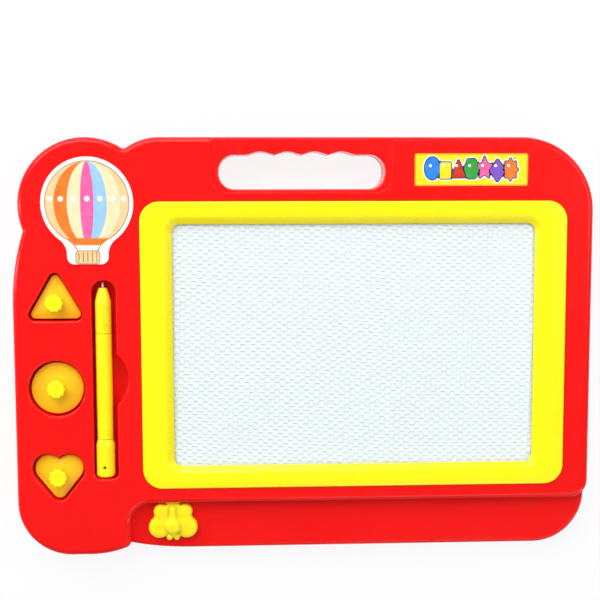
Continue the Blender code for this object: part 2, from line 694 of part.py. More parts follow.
def boss_places():
    """Where the screws stand: between the pockets, round the edge and beside the handle."""
    gap_y = (TRIANGLE_Y - TRIANGLE_HEIGHT / 3 + CIRCLE_Y + CIRCLE_RADIUS) / 2
    low_gap_y = (CIRCLE_Y - CIRCLE_RADIUS + HEART_Y + HEART_LOBE_RADIUS) / 2
    heart_tip = HEART_Y - HEART_TIP_DROP - HEART_TIP_RADIUS
    right_x = (RIGHT_EDGE + SCREEN_X + BEZEL_WIDTH / 2) / 2 - WALL / 2
    top_y = TOP_EDGE - HANDLE_TOP - HANDLE_OPENING / 2
    pen_foot_y = PEN_POCKET_TOP_Y - PEN_POCKET_LENGTH
    label_right = LEFT_EDGE + LABEL_LEFT + LABEL_WIDTH
    between_x = (HANDLE_CENTRE_X + HANDLE_WIDTH / 2 + LEFT_EDGE + LABEL_LEFT) / 2
    return [
        (STAMP_X, gap_y),
        (STAMP_X, low_gap_y),
        (STAMP_X, (heart_tip + FOOT_EDGE) / 2),
        (LEFT_EDGE + LOBE_INSET + LOBE_RADIUS, TOP_EDGE - LOBE_RADIUS / 2),
        (LEFT_EDGE + HANDLE_LEFT - HANDLE_OPENING, top_y),
        (between_x, top_y),
        (label_right + LABEL_HEIGHT, top_y - WALL),
        (right_x, SCREEN_Y),
        (right_x, LEDGE_WALL_Y + RAISED_CORNER_RADIUS),
        ((PEN_X + LEDGE_LEFT_X) / 2, (pen_foot_y + FOOT_EDGE) / 2),
    ]


def hook_places():
    """Each hook's middle, on the seat's wall, with the way out from the screen's centre."""
    half_x, half_y = SEAT_WIDTH / 2, SEAT_HEIGHT / 2
    places = []
    for i in range(LONG_SIDE_HOOKS):
        x = SCREEN_X + SEAT_WIDTH * ((i + 0.5) / LONG_SIDE_HOOKS - 0.5)
        places += [(x, SCREEN_Y + half_y, 0, 1), (x, SCREEN_Y - half_y, 0, -1)]
    for i in range(SHORT_SIDE_HOOKS):
        y = SCREEN_Y + SEAT_HEIGHT * ((i + 0.5) / SHORT_SIDE_HOOKS - 0.5)
        places += [(SCREEN_X + half_x, y, 1, 0), (SCREEN_X - half_x, y, -1, 0)]
    return places


def hook_rings(place, width, profile):
    """A profile of outward distance and height, swept along the bezel's side by width."""
    x, y, out_x, out_y = place
    side_x, side_y = -out_y, out_x
    rings = []
    for shift in (-width / 2, width / 2):
        rings.append(
            [(x + out_x * o + side_x * shift, y + out_y * o + side_y * shift, z) for o, z in profile]
        )
    return rings


STAMPS = (
    ("triangle", triangle_outline, TRIANGLE_Y),
    ("circle", circle_outline, CIRCLE_Y),
    ("heart", heart_outline, HEART_Y - HEART_KNOB_DROP),
)


def moved(outline, x, y):
    return [p + Vector((x, y)) for p in outline]


def pocket_outlines(grow=0.0):
    """The three stamp pockets and the pen's trough, grown outwards by a wall if asked."""
    pockets = [moved(outline(POCKET_GAP + grow), STAMP_X, y) for _, outline, y in STAMPS]
    return [*pockets, inset(pen_pocket_outline(), -grow)]


def flange_window():
    """The opening in the shell behind the panel."""
    width = SEAT_WIDTH - 2 * FLANGE_WIDTH_ENDS
    height = SEAT_HEIGHT - 2 * FLANGE_WIDTH
    return screen_rectangle(width, height, WINDOW_RADIUS)


def cavity_cutter(name, outline, ceiling):
    """A hollow of the shell, less the walls of pockets, screen seat, handle and bosses."""
    low = SHELL_BOTTOM_Z - OVERRUN
    below, above = low - OVERRUN, FACE_Z + OVERRUN
    cavity = prism(name, outline, low, ceiling)
    seat = screen_rectangle(SEAT_WIDTH + 2 * WALL, SEAT_HEIGHT + 2 * WALL, SEAT_RADIUS + WALL)
    walls = [(pocket, POCKET_FLOOR_Z - WALL) for pocket in pocket_outlines(WALL)]
    walls += [(seat, FLANGE_BOTTOM_Z), (inset(handle_outline(), -WALL), below)]
    walls += [(circle(x, y, BOSS_RADIUS, BOSS_SIDES), below) for x, y in boss_places()]
    for number, (block, foot) in enumerate(walls):
        cut(cavity, prism(f"{name}_wall_{number}", block, foot, above))
    return cavity


def openings_cutter():
    """Pockets, stepped screen seat, handle, label recess, eraser slot and screw pilots."""
    bm = bmesh.new()
    above = FACE_Z + OVERRUN
    below = SHELL_BOTTOM_Z - OVERRUN
    for pocket in pocket_outlines():
        add_rings(bm, [level(pocket, POCKET_FLOOR_Z), level(pocket, above)])
    seat = screen_rectangle(SEAT_WIDTH, SEAT_HEIGHT, SEAT_RADIUS)
    rebate = screen_rectangle(
        BEZEL_WIDTH + 2 * CLEARANCE, BEZEL_HEIGHT + 2 * CLEARANCE, BEZEL_RADIUS + CLEARANCE
    )
    window = flange_window()
    add_rings(
        bm,
        [
            level(window, FLANGE_BOTTOM_Z - OVERRUN),
            level(window, FLANGE_TOP_Z),
            level(seat, FLANGE_TOP_Z),
            level(seat, REBATE_Z),
            level(rebate, REBATE_Z),
            level(rebate, above),
        ],
    )
    grip = handle_outline()
    add_rings(bm, [level(grip, below), level(grip, above)])
    label = label_rectangle(LABEL_GAP)
    add_rings(bm, [level(label, FACE_Z - LABEL_RECESS), level(label, above)])
    for x, y in boss_places():
        pilot = [(PILOT_RADIUS, below), (PILOT_RADIUS, SHELL_BOTTOM_Z + PILOT_DEPTH)]
        add_rings(bm, turned(x, y, pilot, BOSS_SIDES))
    half = ARM_WIDTH / 2 + CLEARANCE
    slot_y = LEDGE_WALL_Y + WALL / 2
    slot = (ERASER_X - half, ERASER_X + ERASER_TRAVEL + half, slot_y - WALL, slot_y + WALL)
    add_rings(bm, box_rings(*slot, ARM_BOTTOM_Z - CLEARANCE, ARM_TOP_Z + CLEARANCE))
    return add_object("openings", bm)


def side_openings_cutter():
    """Windows for the bezel's hooks and the shallow recess round the handle."""
    bm = bmesh.new()
    low, high = HOOK_LOW_Z - CLEARANCE, HOOK_LOW_Z + 2 * HOOK_BARB_HEIGHT + CLEARANCE
    profile = [(-WALL / 2, low), (WALL * 3 / 2, low), (WALL * 3 / 2, high), (-WALL / 2, high)]
    for place in hook_places():
        add_rings(bm, hook_rings(place, HOOK_WIDTH + 2 * CLEARANCE, profile))
    radius = HANDLE_RECESS_RADIUS
    low_y = HANDLE_TOP_Y - HANDLE_OPENING - HANDLE_RECESS_BELOW
    high_y = TOP_EDGE + 2 * radius
    middle = (low_y + high_y) / 2
    width = HANDLE_WIDTH + 2 * HANDLE_RECESS_SIDE
    recess = rounded_rectangle(HANDLE_CENTRE_X, middle, width, high_y - low_y, radius)
    add_rings(bm, [level(recess, FACE_Z - HANDLE_RECESS), level(recess, FACE_Z + OVERRUN)])
    return add_object("side_openings", bm)


def label_rectangle(grow=0.0):
    x = LEFT_EDGE + LABEL_LEFT + LABEL_WIDTH / 2
    y = TOP_EDGE - LABEL_TOP - LABEL_HEIGHT / 2
    return rounded_rectangle(x, y, LABEL_WIDTH + 2 * grow, LABEL_HEIGHT + 2 * grow, LABEL_RADIUS + grow)


def front_shell(material):
    """One moulding: face, side walls, ledge, pockets, screen seat, handle tube and bosses."""
    raised = rounded_top(raised_outline(), SHELL_BOTTOM_Z, FACE_Z, FACE_EDGE_RADIUS)
    shell = lofted("front_shell", raised, material)
    ledge_outline = inset(board_outline(), LEDGE_STEP)
    ledge = rounded_top(ledge_outline, SHELL_BOTTOM_Z, LEDGE_Z, LEDGE_EDGE_RADIUS)
    join(shell, lofted("ledge_body", ledge))
    cut(shell, cavity_cutter("cavity", inset(raised_outline(), WALL), FACE_Z - WALL))
    under_ledge = inset(board_outline(), WALL + LEDGE_STEP)
    cut(shell, cavity_cutter("ledge_cavity", under_ledge, LEDGE_Z - WALL))
    cut(shell, openings_cutter())
    cut(shell, side_openings_cutter())


def back_cover(material):
    """A shallow tray with a rounded edge, screw cups, rails and a collar round the handle."""
    outline = board_outline()
    rings = []
    for i in range(EDGE_STEPS + 1):
        a = math.pi / 2 * i / EDGE_STEPS
        rise = BACK_EDGE_RADIUS * (1 - math.cos(a))
        rings.append(level(inset(outline, BACK_EDGE_RADIUS * (1 - math.sin(a))), rise))
    rings.append(level(outline, PARTING_Z))
    rings.append(level(inset(outline, WALL), PARTING_Z))
    rings.append(level(inset(outline, WALL), WALL))
    cover = lofted("back_cover", rings, material)
    fittings = bmesh.new()
    base = WALL / 2
    for x, y in boss_places():
        add_rings(fittings, turned(x, y, [(CUP_RADIUS, base), (CUP_RADIUS, CUP_TOP_Z)], BOSS_SIDES))
    grip = inset(handle_outline(), -WALL)
    add_rings(fittings, [level(grip, base), level(grip, CUP_TOP_Z)])
    start = ERASER_X - CARRIAGE_WIDTH / 2 - RAIL_OVERRUN
    end = ERASER_X + ERASER_TRAVEL + CARRIAGE_WIDTH / 2 + RAIL_OVERRUN
    for y in rail_places():
        add_rings(fittings, box_rings(start, end, y - RAIL_WIDTH / 2, y + RAIL_WIDTH / 2, base, RAIL_TOP_Z))
    join(cover, add_object("cover_fittings", fittings))
    holes = bmesh.new()
    grip = handle_outline()
    add_rings(holes, [level(grip, -OVERRUN), level(grip, CUP_TOP_Z + OVERRUN)])
    for x, y in boss_places():
        bore = [
            (CUP_BORE, -OVERRUN),
            (CUP_BORE, CUP_TOP_Z - CUP_FLOOR),
            (SCREW_HOLE_RADIUS, CUP_TOP_Z - CUP_FLOOR),
            (SCREW_HOLE_RADIUS, CUP_TOP_Z + OVERRUN),
        ]
        add_rings(holes, turned(x, y, bore, BOSS_SIDES))
    cut(cover, add_object("cover_holes", holes))


def rail_places():
    reach = SEAT_HEIGHT / 2 - RAIL_INSET
    return [SCREEN_Y - reach, SCREEN_Y + reach]


def screen_bezel(material):
    """A hollow frame: crowned band, slope down to the screen, flange, skirt and snap hooks."""
    top = FACE_Z + BEZEL_PROUD
    band_top = top - BEZEL_CROWN
    flange = REBATE_Z + CLEARANCE
    foot = PANEL_TOP_Z + CLEARANCE
    under = band_top - BEZEL_SKIN
    lip_top = foot + BEZEL_LIP_HEIGHT
    sections = [(0.0, flange)]
    for i in range(EDGE_STEPS + 1):
        a = math.pi / 2 * i / EDGE_STEPS
        fall = BEZEL_EDGE_RADIUS * (1 - math.sin(a))
        sections.append((BEZEL_EDGE_RADIUS * (1 - math.cos(a)), band_top - fall))
    rings = []
    for moved_in, z in sections:
        outline = screen_rectangle(
            BEZEL_WIDTH - 2 * moved_in, BEZEL_HEIGHT - 2 * moved_in, BEZEL_RADIUS - moved_in
        )
        rings.append(level(outline, z))
    slope = BEZEL_SLOPE_WIDTH
    seat = BEZEL_FLANGE + CLEARANCE
    mid_x, mid_y = (BEZEL_SIDE_BAND - slope) / 2, (BEZEL_TOP_BAND - slope) / 2
    mid_radius = (BEZEL_RADIUS + WINDOW_RADIUS + slope) / 2
    crown = screen_rectangle(BEZEL_WIDTH - 2 * mid_x, BEZEL_HEIGHT - 2 * mid_y, mid_radius)
    rings.append(level(crown, top))
    inward = [
        (slope, band_top),
        (0.0, lip_top),
        (0.0, foot),
        (BEZEL_LIP_WIDTH, foot),
        (BEZEL_LIP_WIDTH, lip_top),
        (slope + BEZEL_SKIN / 2, under),
    ]
    for grow, z in inward:
        outline = screen_rectangle(
            WINDOW_WIDTH + 2 * grow, WINDOW_HEIGHT + 2 * grow, WINDOW_RADIUS + grow
        )
        rings.append(level(outline, z))
    outward = [
        (seat + BEZEL_SKIRT, under),
        (seat + BEZEL_SKIRT, foot),
        (seat, foot),
        (seat, flange),
    ]
    for moved_in, z in outward:
        outline = screen_rectangle(
            BEZEL_WIDTH - 2 * moved_in, BEZEL_HEIGHT - 2 * moved_in, BEZEL_RADIUS - moved_in
        )
        rings.append(level(outline, z))
    bezel = lofted("screen_bezel", rings, material, loop=True)
    hooks = bmesh.new()
    back, face = ADHESIVE - CLEARANCE - BEZEL_SKIRT, -ADHESIVE - CLEARANCE
    tip = face + HOOK_BARB
    catch = HOOK_LOW_Z + 2 * HOOK_BARB_HEIGHT
    root = foot + HOOK_ROOT
    profile = [
        (back, HOOK_LOW_Z),
        (face, HOOK_LOW_Z),
        (tip, HOOK_LOW_Z + HOOK_BARB_HEIGHT),
        (tip, catch),
        (face, catch),
        (face, root),
        (back, root),
    ]
    for place in hook_places():
        add_rings(hooks, hook_rings(place, HOOK_WIDTH, profile))
    join(bezel, add_object("bezel_hooks", hooks))


def panel(pale, film, grey):
    outline = screen_rectangle(
        SEAT_WIDTH - 2 * PANEL_MARGIN, SEAT_HEIGHT - 2 * PANEL_MARGIN, SEAT_RADIUS - PANEL_MARGIN
    )
    prism("screen_front_film", outline, PANEL_TOP_Z - FILM_THICKNESS, PANEL_TOP_Z, film)
    prism("honeycomb_core", outline, CORE_TOP_Z - CORE_THICKNESS, CORE_TOP_Z, pale)
    prism("screen_back_film", outline, PANEL_BOTTOM_Z, BACK_FILM_TOP_Z, grey)


def place_origin(obj, point):
    """Moves the object's origin without moving its mesh."""
    obj.data.transform(Matrix.Translation(-point))
    obj.location = point


def attach(obj, carrier):
    """Lets a piece move with its carrier, from the same origin."""
    obj.data.transform(Matrix.Translation(-carrier.location))
    obj.parent = carrier


def mirrored(points):
    """An outline about the eraser's axis, from the points on its right side."""
    right = [Vector((ERASER_X + x, y)) for x, y in points]
    return right + [Vector((ERASER_X - x, y)) for x, y in reversed(points)]


def eraser(yellow, ferrite):
    """The carriage with its stepped arm, the magnet strip on it, and the butterfly on the tongue."""
    low_y, high_y = SCREEN_Y - SEAT_HEIGHT / 2, SCREEN_Y + SEAT_HEIGHT / 2
    knob_y = LEDGE_WALL_Y - KNOB_GAP
    half, arm, tongue = CARRIAGE_WIDTH / 2, ARM_WIDTH / 2, TONGUE_WIDTH / 2
    arm_y, tongue_y = knob_y + CLEARANCE, knob_y - TONGUE_LENGTH
    riser_low, riser_high = RISER_Y - RISER_THICKNESS / 2, RISER_Y + RISER_THICKNESS / 2
    plate = mirrored([(arm, riser_low), (arm, low_y), (half, low_y), (half, high_y)])
    carriage = prism("eraser_carriage", plate, BAR_BOTTOM_Z, PLATE_TOP_Z, yellow)
    inner_y = riser_high + CLEARANCE
    reach = mirrored([(tongue, tongue_y), (tongue, arm_y), (arm, arm_y), (arm, inner_y)])
    join(carriage, prism("carriage_arm", reach, ARM_BOTTOM_Z, ARM_TOP_Z))
    inner = arm - CLEARANCE
    riser = box_rings(
        ERASER_X - inner, ERASER_X + inner, riser_low + CLEARANCE, riser_high,
        (BAR_BOTTOM_Z + PLATE_TOP_Z) / 2, (ARM_BOTTOM_Z + ARM_TOP_Z) / 2,
    )
    join(carriage, lofted("carriage_riser", riser))
    inner = half - CLEARANCE
    spine = box_rings(
        ERASER_X - inner, ERASER_X + inner, low_y + CLEARANCE, high_y - CLEARANCE,
        (BAR_BOTTOM_Z + PLATE_TOP_Z) / 2, BAR_TOP_Z,
    )
    join(carriage, lofted("carriage_spine", spine))
    magnet_half = SEAT_HEIGHT / 2 - FLANGE_WIDTH - MAGNET_END_GAP
    rib = MAGNET_WIDTH / 2
    magnet_y = (SCREEN_Y - magnet_half, SCREEN_Y + magnet_half)
    seat = box_rings(ERASER_X - rib, ERASER_X + rib, *magnet_y, PLATE_TOP_Z, RIB_TOP_Z)
    join(carriage, lofted("carriage_rib", seat))
    grooves = bmesh.new()
    groove = RAIL_WIDTH / 2 + CLEARANCE
    low, high = BAR_BOTTOM_Z - OVERRUN, BAR_BOTTOM_Z + RAIL_GROOVE
    for y in rail_places():
        left, right = ERASER_X - 2 * half, ERASER_X + 2 * half
        add_rings(grooves, box_rings(left, right, y - groove, y + groove, low, high))
    cut(carriage, add_object("carriage_grooves", grooves))
    place_origin(carriage, Vector((ERASER_X, knob_y, BAR_BOTTOM_Z)))
    strip = box_rings(ERASER_X - rib, ERASER_X + rib, *magnet_y, MAGNET_BOTTOM_Z, MAGNET_TOP_Z)
    attach(lofted("eraser_magnet", strip, ferrite), carriage)
    attach(eraser_knob(knob_y, yellow), carriage)


def pair_of_rounds(name, x, drop, radius, top, edge):
    """Two round lobes of the butterfly, mirrored about its middle."""
    bottom = LEDGE_Z + KNOB_LIFT
    y = LEDGE_WALL_Y - KNOB_GAP - drop
    bm = bmesh.new()
    for side in (-1, 1):
        outline = circle(ERASER_X + side * x, y, radius, THORAX_SIDES)
        add_rings(bm, rounded_top(outline, bottom, top, edge))
    return add_object(name, bm)


def eraser_knob(knob_y, material):
    bottom = LEDGE_Z + KNOB_LIFT
    edge = WING_EDGE_RADIUS
    lower_wings = (LOWER_WING_X, LOWER_WING_DROP, LOWER_WING_RADIUS)
    upper_wings = (UPPER_WING_X, UPPER_WING_DROP, UPPER_WING_RADIUS)
    knob = pair_of_rounds("eraser_knob", *lower_wings, WING_TOP_Z, edge)
    knob.data.materials.append(material)
    join(knob, pair_of_rounds("upper_wings", *upper_wings, WING_TOP_Z, edge))
    web_low = knob_y - LOWER_WING_DROP
    web = rounded_rectangle(ERASER_X, (knob_y + web_low) / 2, WEB_WIDTH, knob_y - web_low, KNOB_LIFT)
    join(knob, prism("knob_web", web, bottom, WEB_TOP_Z))
    head_length = BULB_DROP - THORAX_DROP
    head_y = knob_y - (BULB_DROP + THORAX_DROP) / 2
    head = rounded_rectangle(ERASER_X, head_y, HEAD_WIDTH, head_length, BULB_RADIUS)
    join(knob, prism("knob_head", head, bottom, NAPE_TOP_Z))
    stick_length = THORAX_DROP - ABDOMEN_RADIUS / 2
    stick_y = knob_y - ABDOMEN_RADIUS / 2 - stick_length / 2
    stick = rounded_rectangle(ERASER_X, stick_y, 2 * ABDOMEN_RADIUS, stick_length, ABDOMEN_RADIUS * 2 / 3)
    rings = rounded_top(stick, WEB_TOP_Z - edge, ABDOMEN_TOP_Z, ABDOMEN_RADIUS / 2)
    join(knob, lofted("knob_stick", rings))
    dome = []
    rise = THORAX_TOP_Z - WING_TOP_Z
    for i in range(EDGE_STEPS + 2):
        a = math.radians(80) * i / (EDGE_STEPS + 1)
        dome.append((THORAX_RADIUS * math.cos(a), WING_TOP_Z + rise * math.sin(a)))
    profile = [(THORAX_RADIUS, bottom + edge), *dome]
    join(knob, lofted("knob_thorax", turned(ERASER_X, knob_y - THORAX_DROP, profile, THORAX_SIDES)))
    join(knob, pair_of_rounds("knob_bulbs", BULB_X, BULB_DROP, BULB_RADIUS, BULB_TOP_Z, BULB_RADIUS / 2))
    fit = TONGUE_WIDTH / 2 + CLEARANCE
    pocket = box_rings(
        ERASER_X - fit, ERASER_X + fit, knob_y - TONGUE_LENGTH - CLEARANCE, knob_y + OVERRUN,
        ARM_BOTTOM_Z - CLEARANCE, ARM_TOP_Z + CLEARANCE,
    )
    cut(knob, lofted("tongue_pocket", pocket))
    return knob


def divided(outline, longest):
    """The same outline with its long straight sides in steps."""
    points = []
    for i, point in enumerate(outline):
        before = outline[i - 1]
        steps = max(1, math.ceil((point - before).length / longest))
        points += [before.lerp(point, (k + 1) / steps) for k in range(steps)]
    return points


def towards(outline, share, radius):
    """Points a share of the way from the outline to a circle about the origin."""
    return [p.lerp(p.normalized() * radius, share) for p in outline]


def stamp(name, outline, y, amber, yellow, ferrite):
    """A hollow stamp body with a magnet plate below and a scalloped knob pegged in on top."""
    shape = divided(outline(), KNOB_RADIUS)
    inner = inset(shape, STAMP_RIM)
    shoulder = inset(shape, STAMP_EDGE_RADIUS + STAMP_SHOULDER)
    peg_hole = PEG_RADIUS + CLEARANCE
    ceiling = STAMP_TOP_Z - STAMP_SKIN
    rings = rounded_top(shape, STAMP_BOTTOM_Z, STAMP_TOP_Z, STAMP_EDGE_RADIUS)
    rings.append(level(shoulder, STAMP_TOP_Z))
    rings.append(level(towards(shoulder, 0.5, COLLAR_RADIUS), STAMP_TOP_Z + STAMP_DOME * 0.7))
    rings.append(level(towards(shoulder, 1.0, COLLAR_RADIUS), COLLAR_Z))
    rings.append(level(towards(shoulder, 1.0, peg_hole), COLLAR_Z))
    rings.append(level(towards(shoulder, 1.0, peg_hole), ceiling))
    rings.append(level(inner, ceiling))
    rings.append(level(inner, STAMP_BOTTOM_Z))
    base = lofted(f"{name}_stamp_base", rings, amber, loop=True, smooth=True)
    base.location = (STAMP_X, y, 0)
    plate = inset(shape, STAMP_RIM + CLEARANCE)
    low = STAMP_BOTTOM_Z + ADHESIVE
    prism(f"{name}_stamp_magnet", plate, low, low + STAMP_MAGNET_THICKNESS, ferrite, base)
    lofted(f"{name}_stamp_knob", knob_rings(), yellow, base, smooth=True)


def knob_rings():
    """A peg, a neck and a head with a scalloped rim."""
    count = KNOB_LOBES * KNOB_LOBE_STEPS
    seat = COLLAR_Z + CLEARANCE
    neck_top = seat + KNOB_NECK_HEIGHT
    top = neck_top + KNOB_HEAD_HEIGHT
    edge = KNOB_EDGE_RADIUS
    head = [(KNOB_RADIUS - edge, neck_top), (KNOB_RADIUS, neck_top + edge)]
    for i in range(EDGE_STEPS + 1):
        a = math.pi / 2 * i / EDGE_STEPS
        head.append((KNOB_RADIUS - edge * (1 - math.cos(a)), top - edge * (1 - math.sin(a))))
    rings = []
    plain = [(PEG_RADIUS, COLLAR_Z - PEG_LENGTH), (PEG_RADIUS, seat), (KNOB_NECK_RADIUS, seat)]
    for radius, z in [*plain, (KNOB_NECK_RADIUS, neck_top)]:
        rings.append(level(circle(0, 0, radius, count), z))
    for radius, z in head:
        ring = []
        for i in range(count):
            a = 2 * math.pi * i / count
            r = radius + KNOB_SCALLOP * math.cos(KNOB_LOBES * a)
            ring.append((r * math.cos(a), r * math.sin(a), z))
        rings.append(ring)
    return rings


def pen_rings(profile):
    """Rings about the pen's axis; the profile holds radius and distance back from the tip."""
    rings = []
    for radius, back in profile:
        ring = []
        for i in range(PEN_SIDES):
            a = 2 * math.pi * i / PEN_SIDES
            ring.append((radius * math.cos(a), -back, radius * math.sin(a)))
        rings.append(ring)
    return rings


def pen(yellow, steel):
    """Tip, hollow nose, barrel with two spigots, and an end cap with a hole for a cord."""
    bore = PEN_BARREL_RADIUS - PEN_WALL
    chamfer = PEN_BARREL_RADIUS - PEN_JOINT_CHAMFER
    face = PEN_TIP_LENGTH
    cone = face + PEN_CONE_LENGTH
    nose_end = face + PEN_NOSE_LENGTH
    hole = PEN_TIP_RADIUS + CLEARANCE
    seat = face + PEN_TIP_SEAT + CLEARANCE
    nose = [
        (PEN_NOSE_FACE_RADIUS, face),
        (PEN_BARREL_RADIUS, cone),
        (PEN_BARREL_RADIUS, nose_end - PEN_JOINT_CHAMFER),
        (chamfer, nose_end),
        (bore, nose_end),
        (bore, cone + PEN_WALL),
        (hole, seat),
        (hole, face),
    ]
    body = lofted("pen_nose", pen_rings(nose), yellow, loop=True, smooth=True)
    body.location = (PEN_X, PEN_TIP_Y, PEN_Z)
    tip = [
        (PEN_TIP_RADIUS / 2, 0.0),
        (PEN_TIP_RADIUS, PEN_TIP_RADIUS / 2),
        (PEN_TIP_RADIUS, face + PEN_TIP_SEAT),
    ]
    lofted("pen_tip", pen_rings(tip), steel, body, smooth=True)
    start = nose_end + CLEARANCE
    end = start + PEN_BARREL_LENGTH
    spigot = bore - CLEARANCE
    inside = spigot - PEN_SPIGOT_WALL
    barrel = [
        (spigot, start - PEN_SPIGOT),
        (spigot, start),
        (chamfer, start),
        (PEN_BARREL_RADIUS, start + PEN_JOINT_CHAMFER),
        (PEN_BARREL_RADIUS, end - PEN_JOINT_CHAMFER),
        (chamfer, end),
        (spigot, end),
        (spigot, end + PEN_SPIGOT),
        (inside, end + PEN_SPIGOT),
        (inside, start - PEN_SPIGOT),
    ]
    lofted("pen_barrel", pen_rings(barrel), yellow, body, loop=True, smooth=True)
    mouth = end + CLEARANCE
    close = mouth + PEN_CAP_LENGTH
    cap = [
        (bore, close - PEN_CAP_FLOOR),
        (bore, mouth),
        (chamfer, mouth),
        (PEN_BARREL_RADIUS, mouth + PEN_JOINT_CHAMFER),
        (PEN_CAP_RADIUS, mouth + PEN_CAP_FLARE),
    ]
    for i in range(EDGE_STEPS + 1):
        a = math.pi / 2 * i / EDGE_STEPS
        round_in = PEN_CAP_END_RADIUS * (1 - math.cos(a))
        cap.append((PEN_CAP_RADIUS - round_in, close - PEN_CAP_END_RADIUS * (1 - math.sin(a))))
    end_cap = lofted("pen_end_cap", pen_rings(cap), yellow, body)
    reach = PEN_CAP_RADIUS + OVERRUN
    drill = [(CORD_HOLE_RADIUS, -reach), (CORD_HOLE_RADIUS, reach)]
    hole_rings = turned(0, CORD_HOLE_FROM_END - close, drill, CORD_HOLE_SIDES)
    cut(end_cap, lofted("cord_hole", hole_rings, parent=body))


def case_screws(steel):
    """One slotted screw under each boss, head down in its cup."""
    head_low = HEAD_TOP_Z - SCREW_HEAD_HEIGHT
    tip = HEAD_TOP_Z + SCREW_SHANK_LENGTH
    profile = [
        (SCREW_HEAD_RADIUS, head_low),
        (SCREW_HEAD_RADIUS, HEAD_TOP_Z),
        (SCREW_SHANK_RADIUS, HEAD_TOP_Z),
        (SCREW_SHANK_RADIUS, tip - SCREW_POINT_LENGTH),
        (SCREW_POINT_RADIUS, tip),
    ]
    long, wide = SCREW_SLOT_LENGTH / 2, SCREW_SLOT_WIDTH / 2
    slot = box_rings(-long, long, -wide, wide, head_low - OVERRUN, head_low + SCREW_SLOT_DEPTH)
    for number, (x, y) in enumerate(boss_places(), 1):
        screw = lofted(f"case_screw_{number}", turned(0, 0, profile, SCREW_SIDES), steel)
        screw.location = (x, y, 0)
        cut(screw, lofted(f"screw_slot_{number}", slot, parent=screw))


def stickers(label_material, picture_material):
    low = FACE_Z - LABEL_RECESS + ADHESIVE
    prism("label_sticker", label_rectangle(), low, low + LABEL_THICKNESS, label_material)
    x = LEFT_EDGE + LOBE_INSET + LOBE_RADIUS + STICKER_HEAD_SHIFT
    y = TOP_EDGE - LOBE_RADIUS + STICKER_HEAD_RISE
    low = FACE_Z + ADHESIVE
    outline = moved(sticker_outline(), x, y)
    prism("picture_sticker", outline, low, low + STICKER_THICKNESS, picture_material)


def build():
    clear_scene()
    red = make_material("red_plastic", RED, 0.25)
    yellow = make_material("yellow_plastic", YELLOW, 0.25)
    amber = make_material("amber_plastic", AMBER, 0.30)
    ferrite = make_material("ferrite", FERRITE, 0.60)
    steel = make_material("steel", STEEL, 0.35, 1.0)
    front_shell(red)
    back_cover(red)
    screen_bezel(yellow)
    panel(
        make_material("honeycomb_plastic", PALE, 0.40),
        make_material("clear_film", CLEAR_FILM, 0.15),
        make_material("back_film", GREY_FILM, 0.50),
    )
    eraser(yellow, ferrite)
    for name, outline, y in STAMPS:
        stamp(name, outline, y, amber, yellow, ferrite)
    pen(yellow, steel)
    stickers(
        make_material("label_print", LABEL_YELLOW, 0.40),
        make_material("picture_print", STICKER_WHITE, 0.40),
    )
    case_screws(steel)


build()
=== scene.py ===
"""Looks of the magnetic drawing board: fine meshes, materials, light and camera.

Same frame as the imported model: metres, X to the right, Y towards the grip hole, Z out of the screen.
"""

import json
import math

import bmesh
import bpy
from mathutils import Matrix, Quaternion, Vector, noise

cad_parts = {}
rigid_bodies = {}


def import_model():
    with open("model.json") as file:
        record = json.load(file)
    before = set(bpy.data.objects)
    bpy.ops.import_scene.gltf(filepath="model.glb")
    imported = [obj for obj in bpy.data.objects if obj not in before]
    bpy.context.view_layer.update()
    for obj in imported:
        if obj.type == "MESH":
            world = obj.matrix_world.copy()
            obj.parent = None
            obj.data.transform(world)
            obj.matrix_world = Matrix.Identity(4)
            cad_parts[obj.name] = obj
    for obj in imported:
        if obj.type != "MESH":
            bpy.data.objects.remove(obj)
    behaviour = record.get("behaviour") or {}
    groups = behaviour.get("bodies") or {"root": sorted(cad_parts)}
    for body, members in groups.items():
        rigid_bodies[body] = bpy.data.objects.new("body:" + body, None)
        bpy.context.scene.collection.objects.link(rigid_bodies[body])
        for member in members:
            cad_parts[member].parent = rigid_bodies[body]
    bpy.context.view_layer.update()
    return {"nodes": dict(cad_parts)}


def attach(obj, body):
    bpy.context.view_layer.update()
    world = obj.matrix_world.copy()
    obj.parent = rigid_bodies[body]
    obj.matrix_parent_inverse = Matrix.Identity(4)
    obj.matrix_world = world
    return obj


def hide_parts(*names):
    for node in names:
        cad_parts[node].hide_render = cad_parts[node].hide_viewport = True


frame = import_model()

# How fine the curves are: the angle of a step, the fewest steps of an arc and the steps of a
# rounded edge. The hidden insides are made coarser
FINE = (math.radians(3), 5, 6)
COARSE = (math.radians(11.5), 2, 2)
ARC_STEP, LEAST_ARC_STEPS, EDGE_STEPS = FINE

# General fits
WALL = 0.002
CLEARANCE = 0.0003
ADHESIVE = 0.0002
OVERRUN = 0.004

# Board outline, seen from the front
BOARD_WIDTH = 0.385
BOARD_HEIGHT = 0.2784
TOP_RIGHT_RADIUS = 0.0488
BOTTOM_RIGHT_RADIUS = 0.0354
BOTTOM_LEFT_RADIUS = 0.036
LOBE_RADIUS = 0.0442
LOBE_INSET = 0.0046
TOP_SHOULDER_RADIUS = 0.038
TOP_SHOULDER_OFFSET = 0.0485
LEFT_SHOULDER_RADIUS = 0.155
LEFT_SHOULDER_DROP = 0.065
FOOT_RADIUS = 0.066
FOOT_OFFSET = 0.0482
FOOT_DROP = 0.0012
BOTTOM_SHOULDER_RADIUS = 0.200
BOTTOM_SHOULDER_OFFSET = 0.065
NOTCH_RADIUS = 0.003

# Heights above the table
FACE_Z = 0.024
LEDGE_Z = 0.0153
PARTING_Z = 0.006

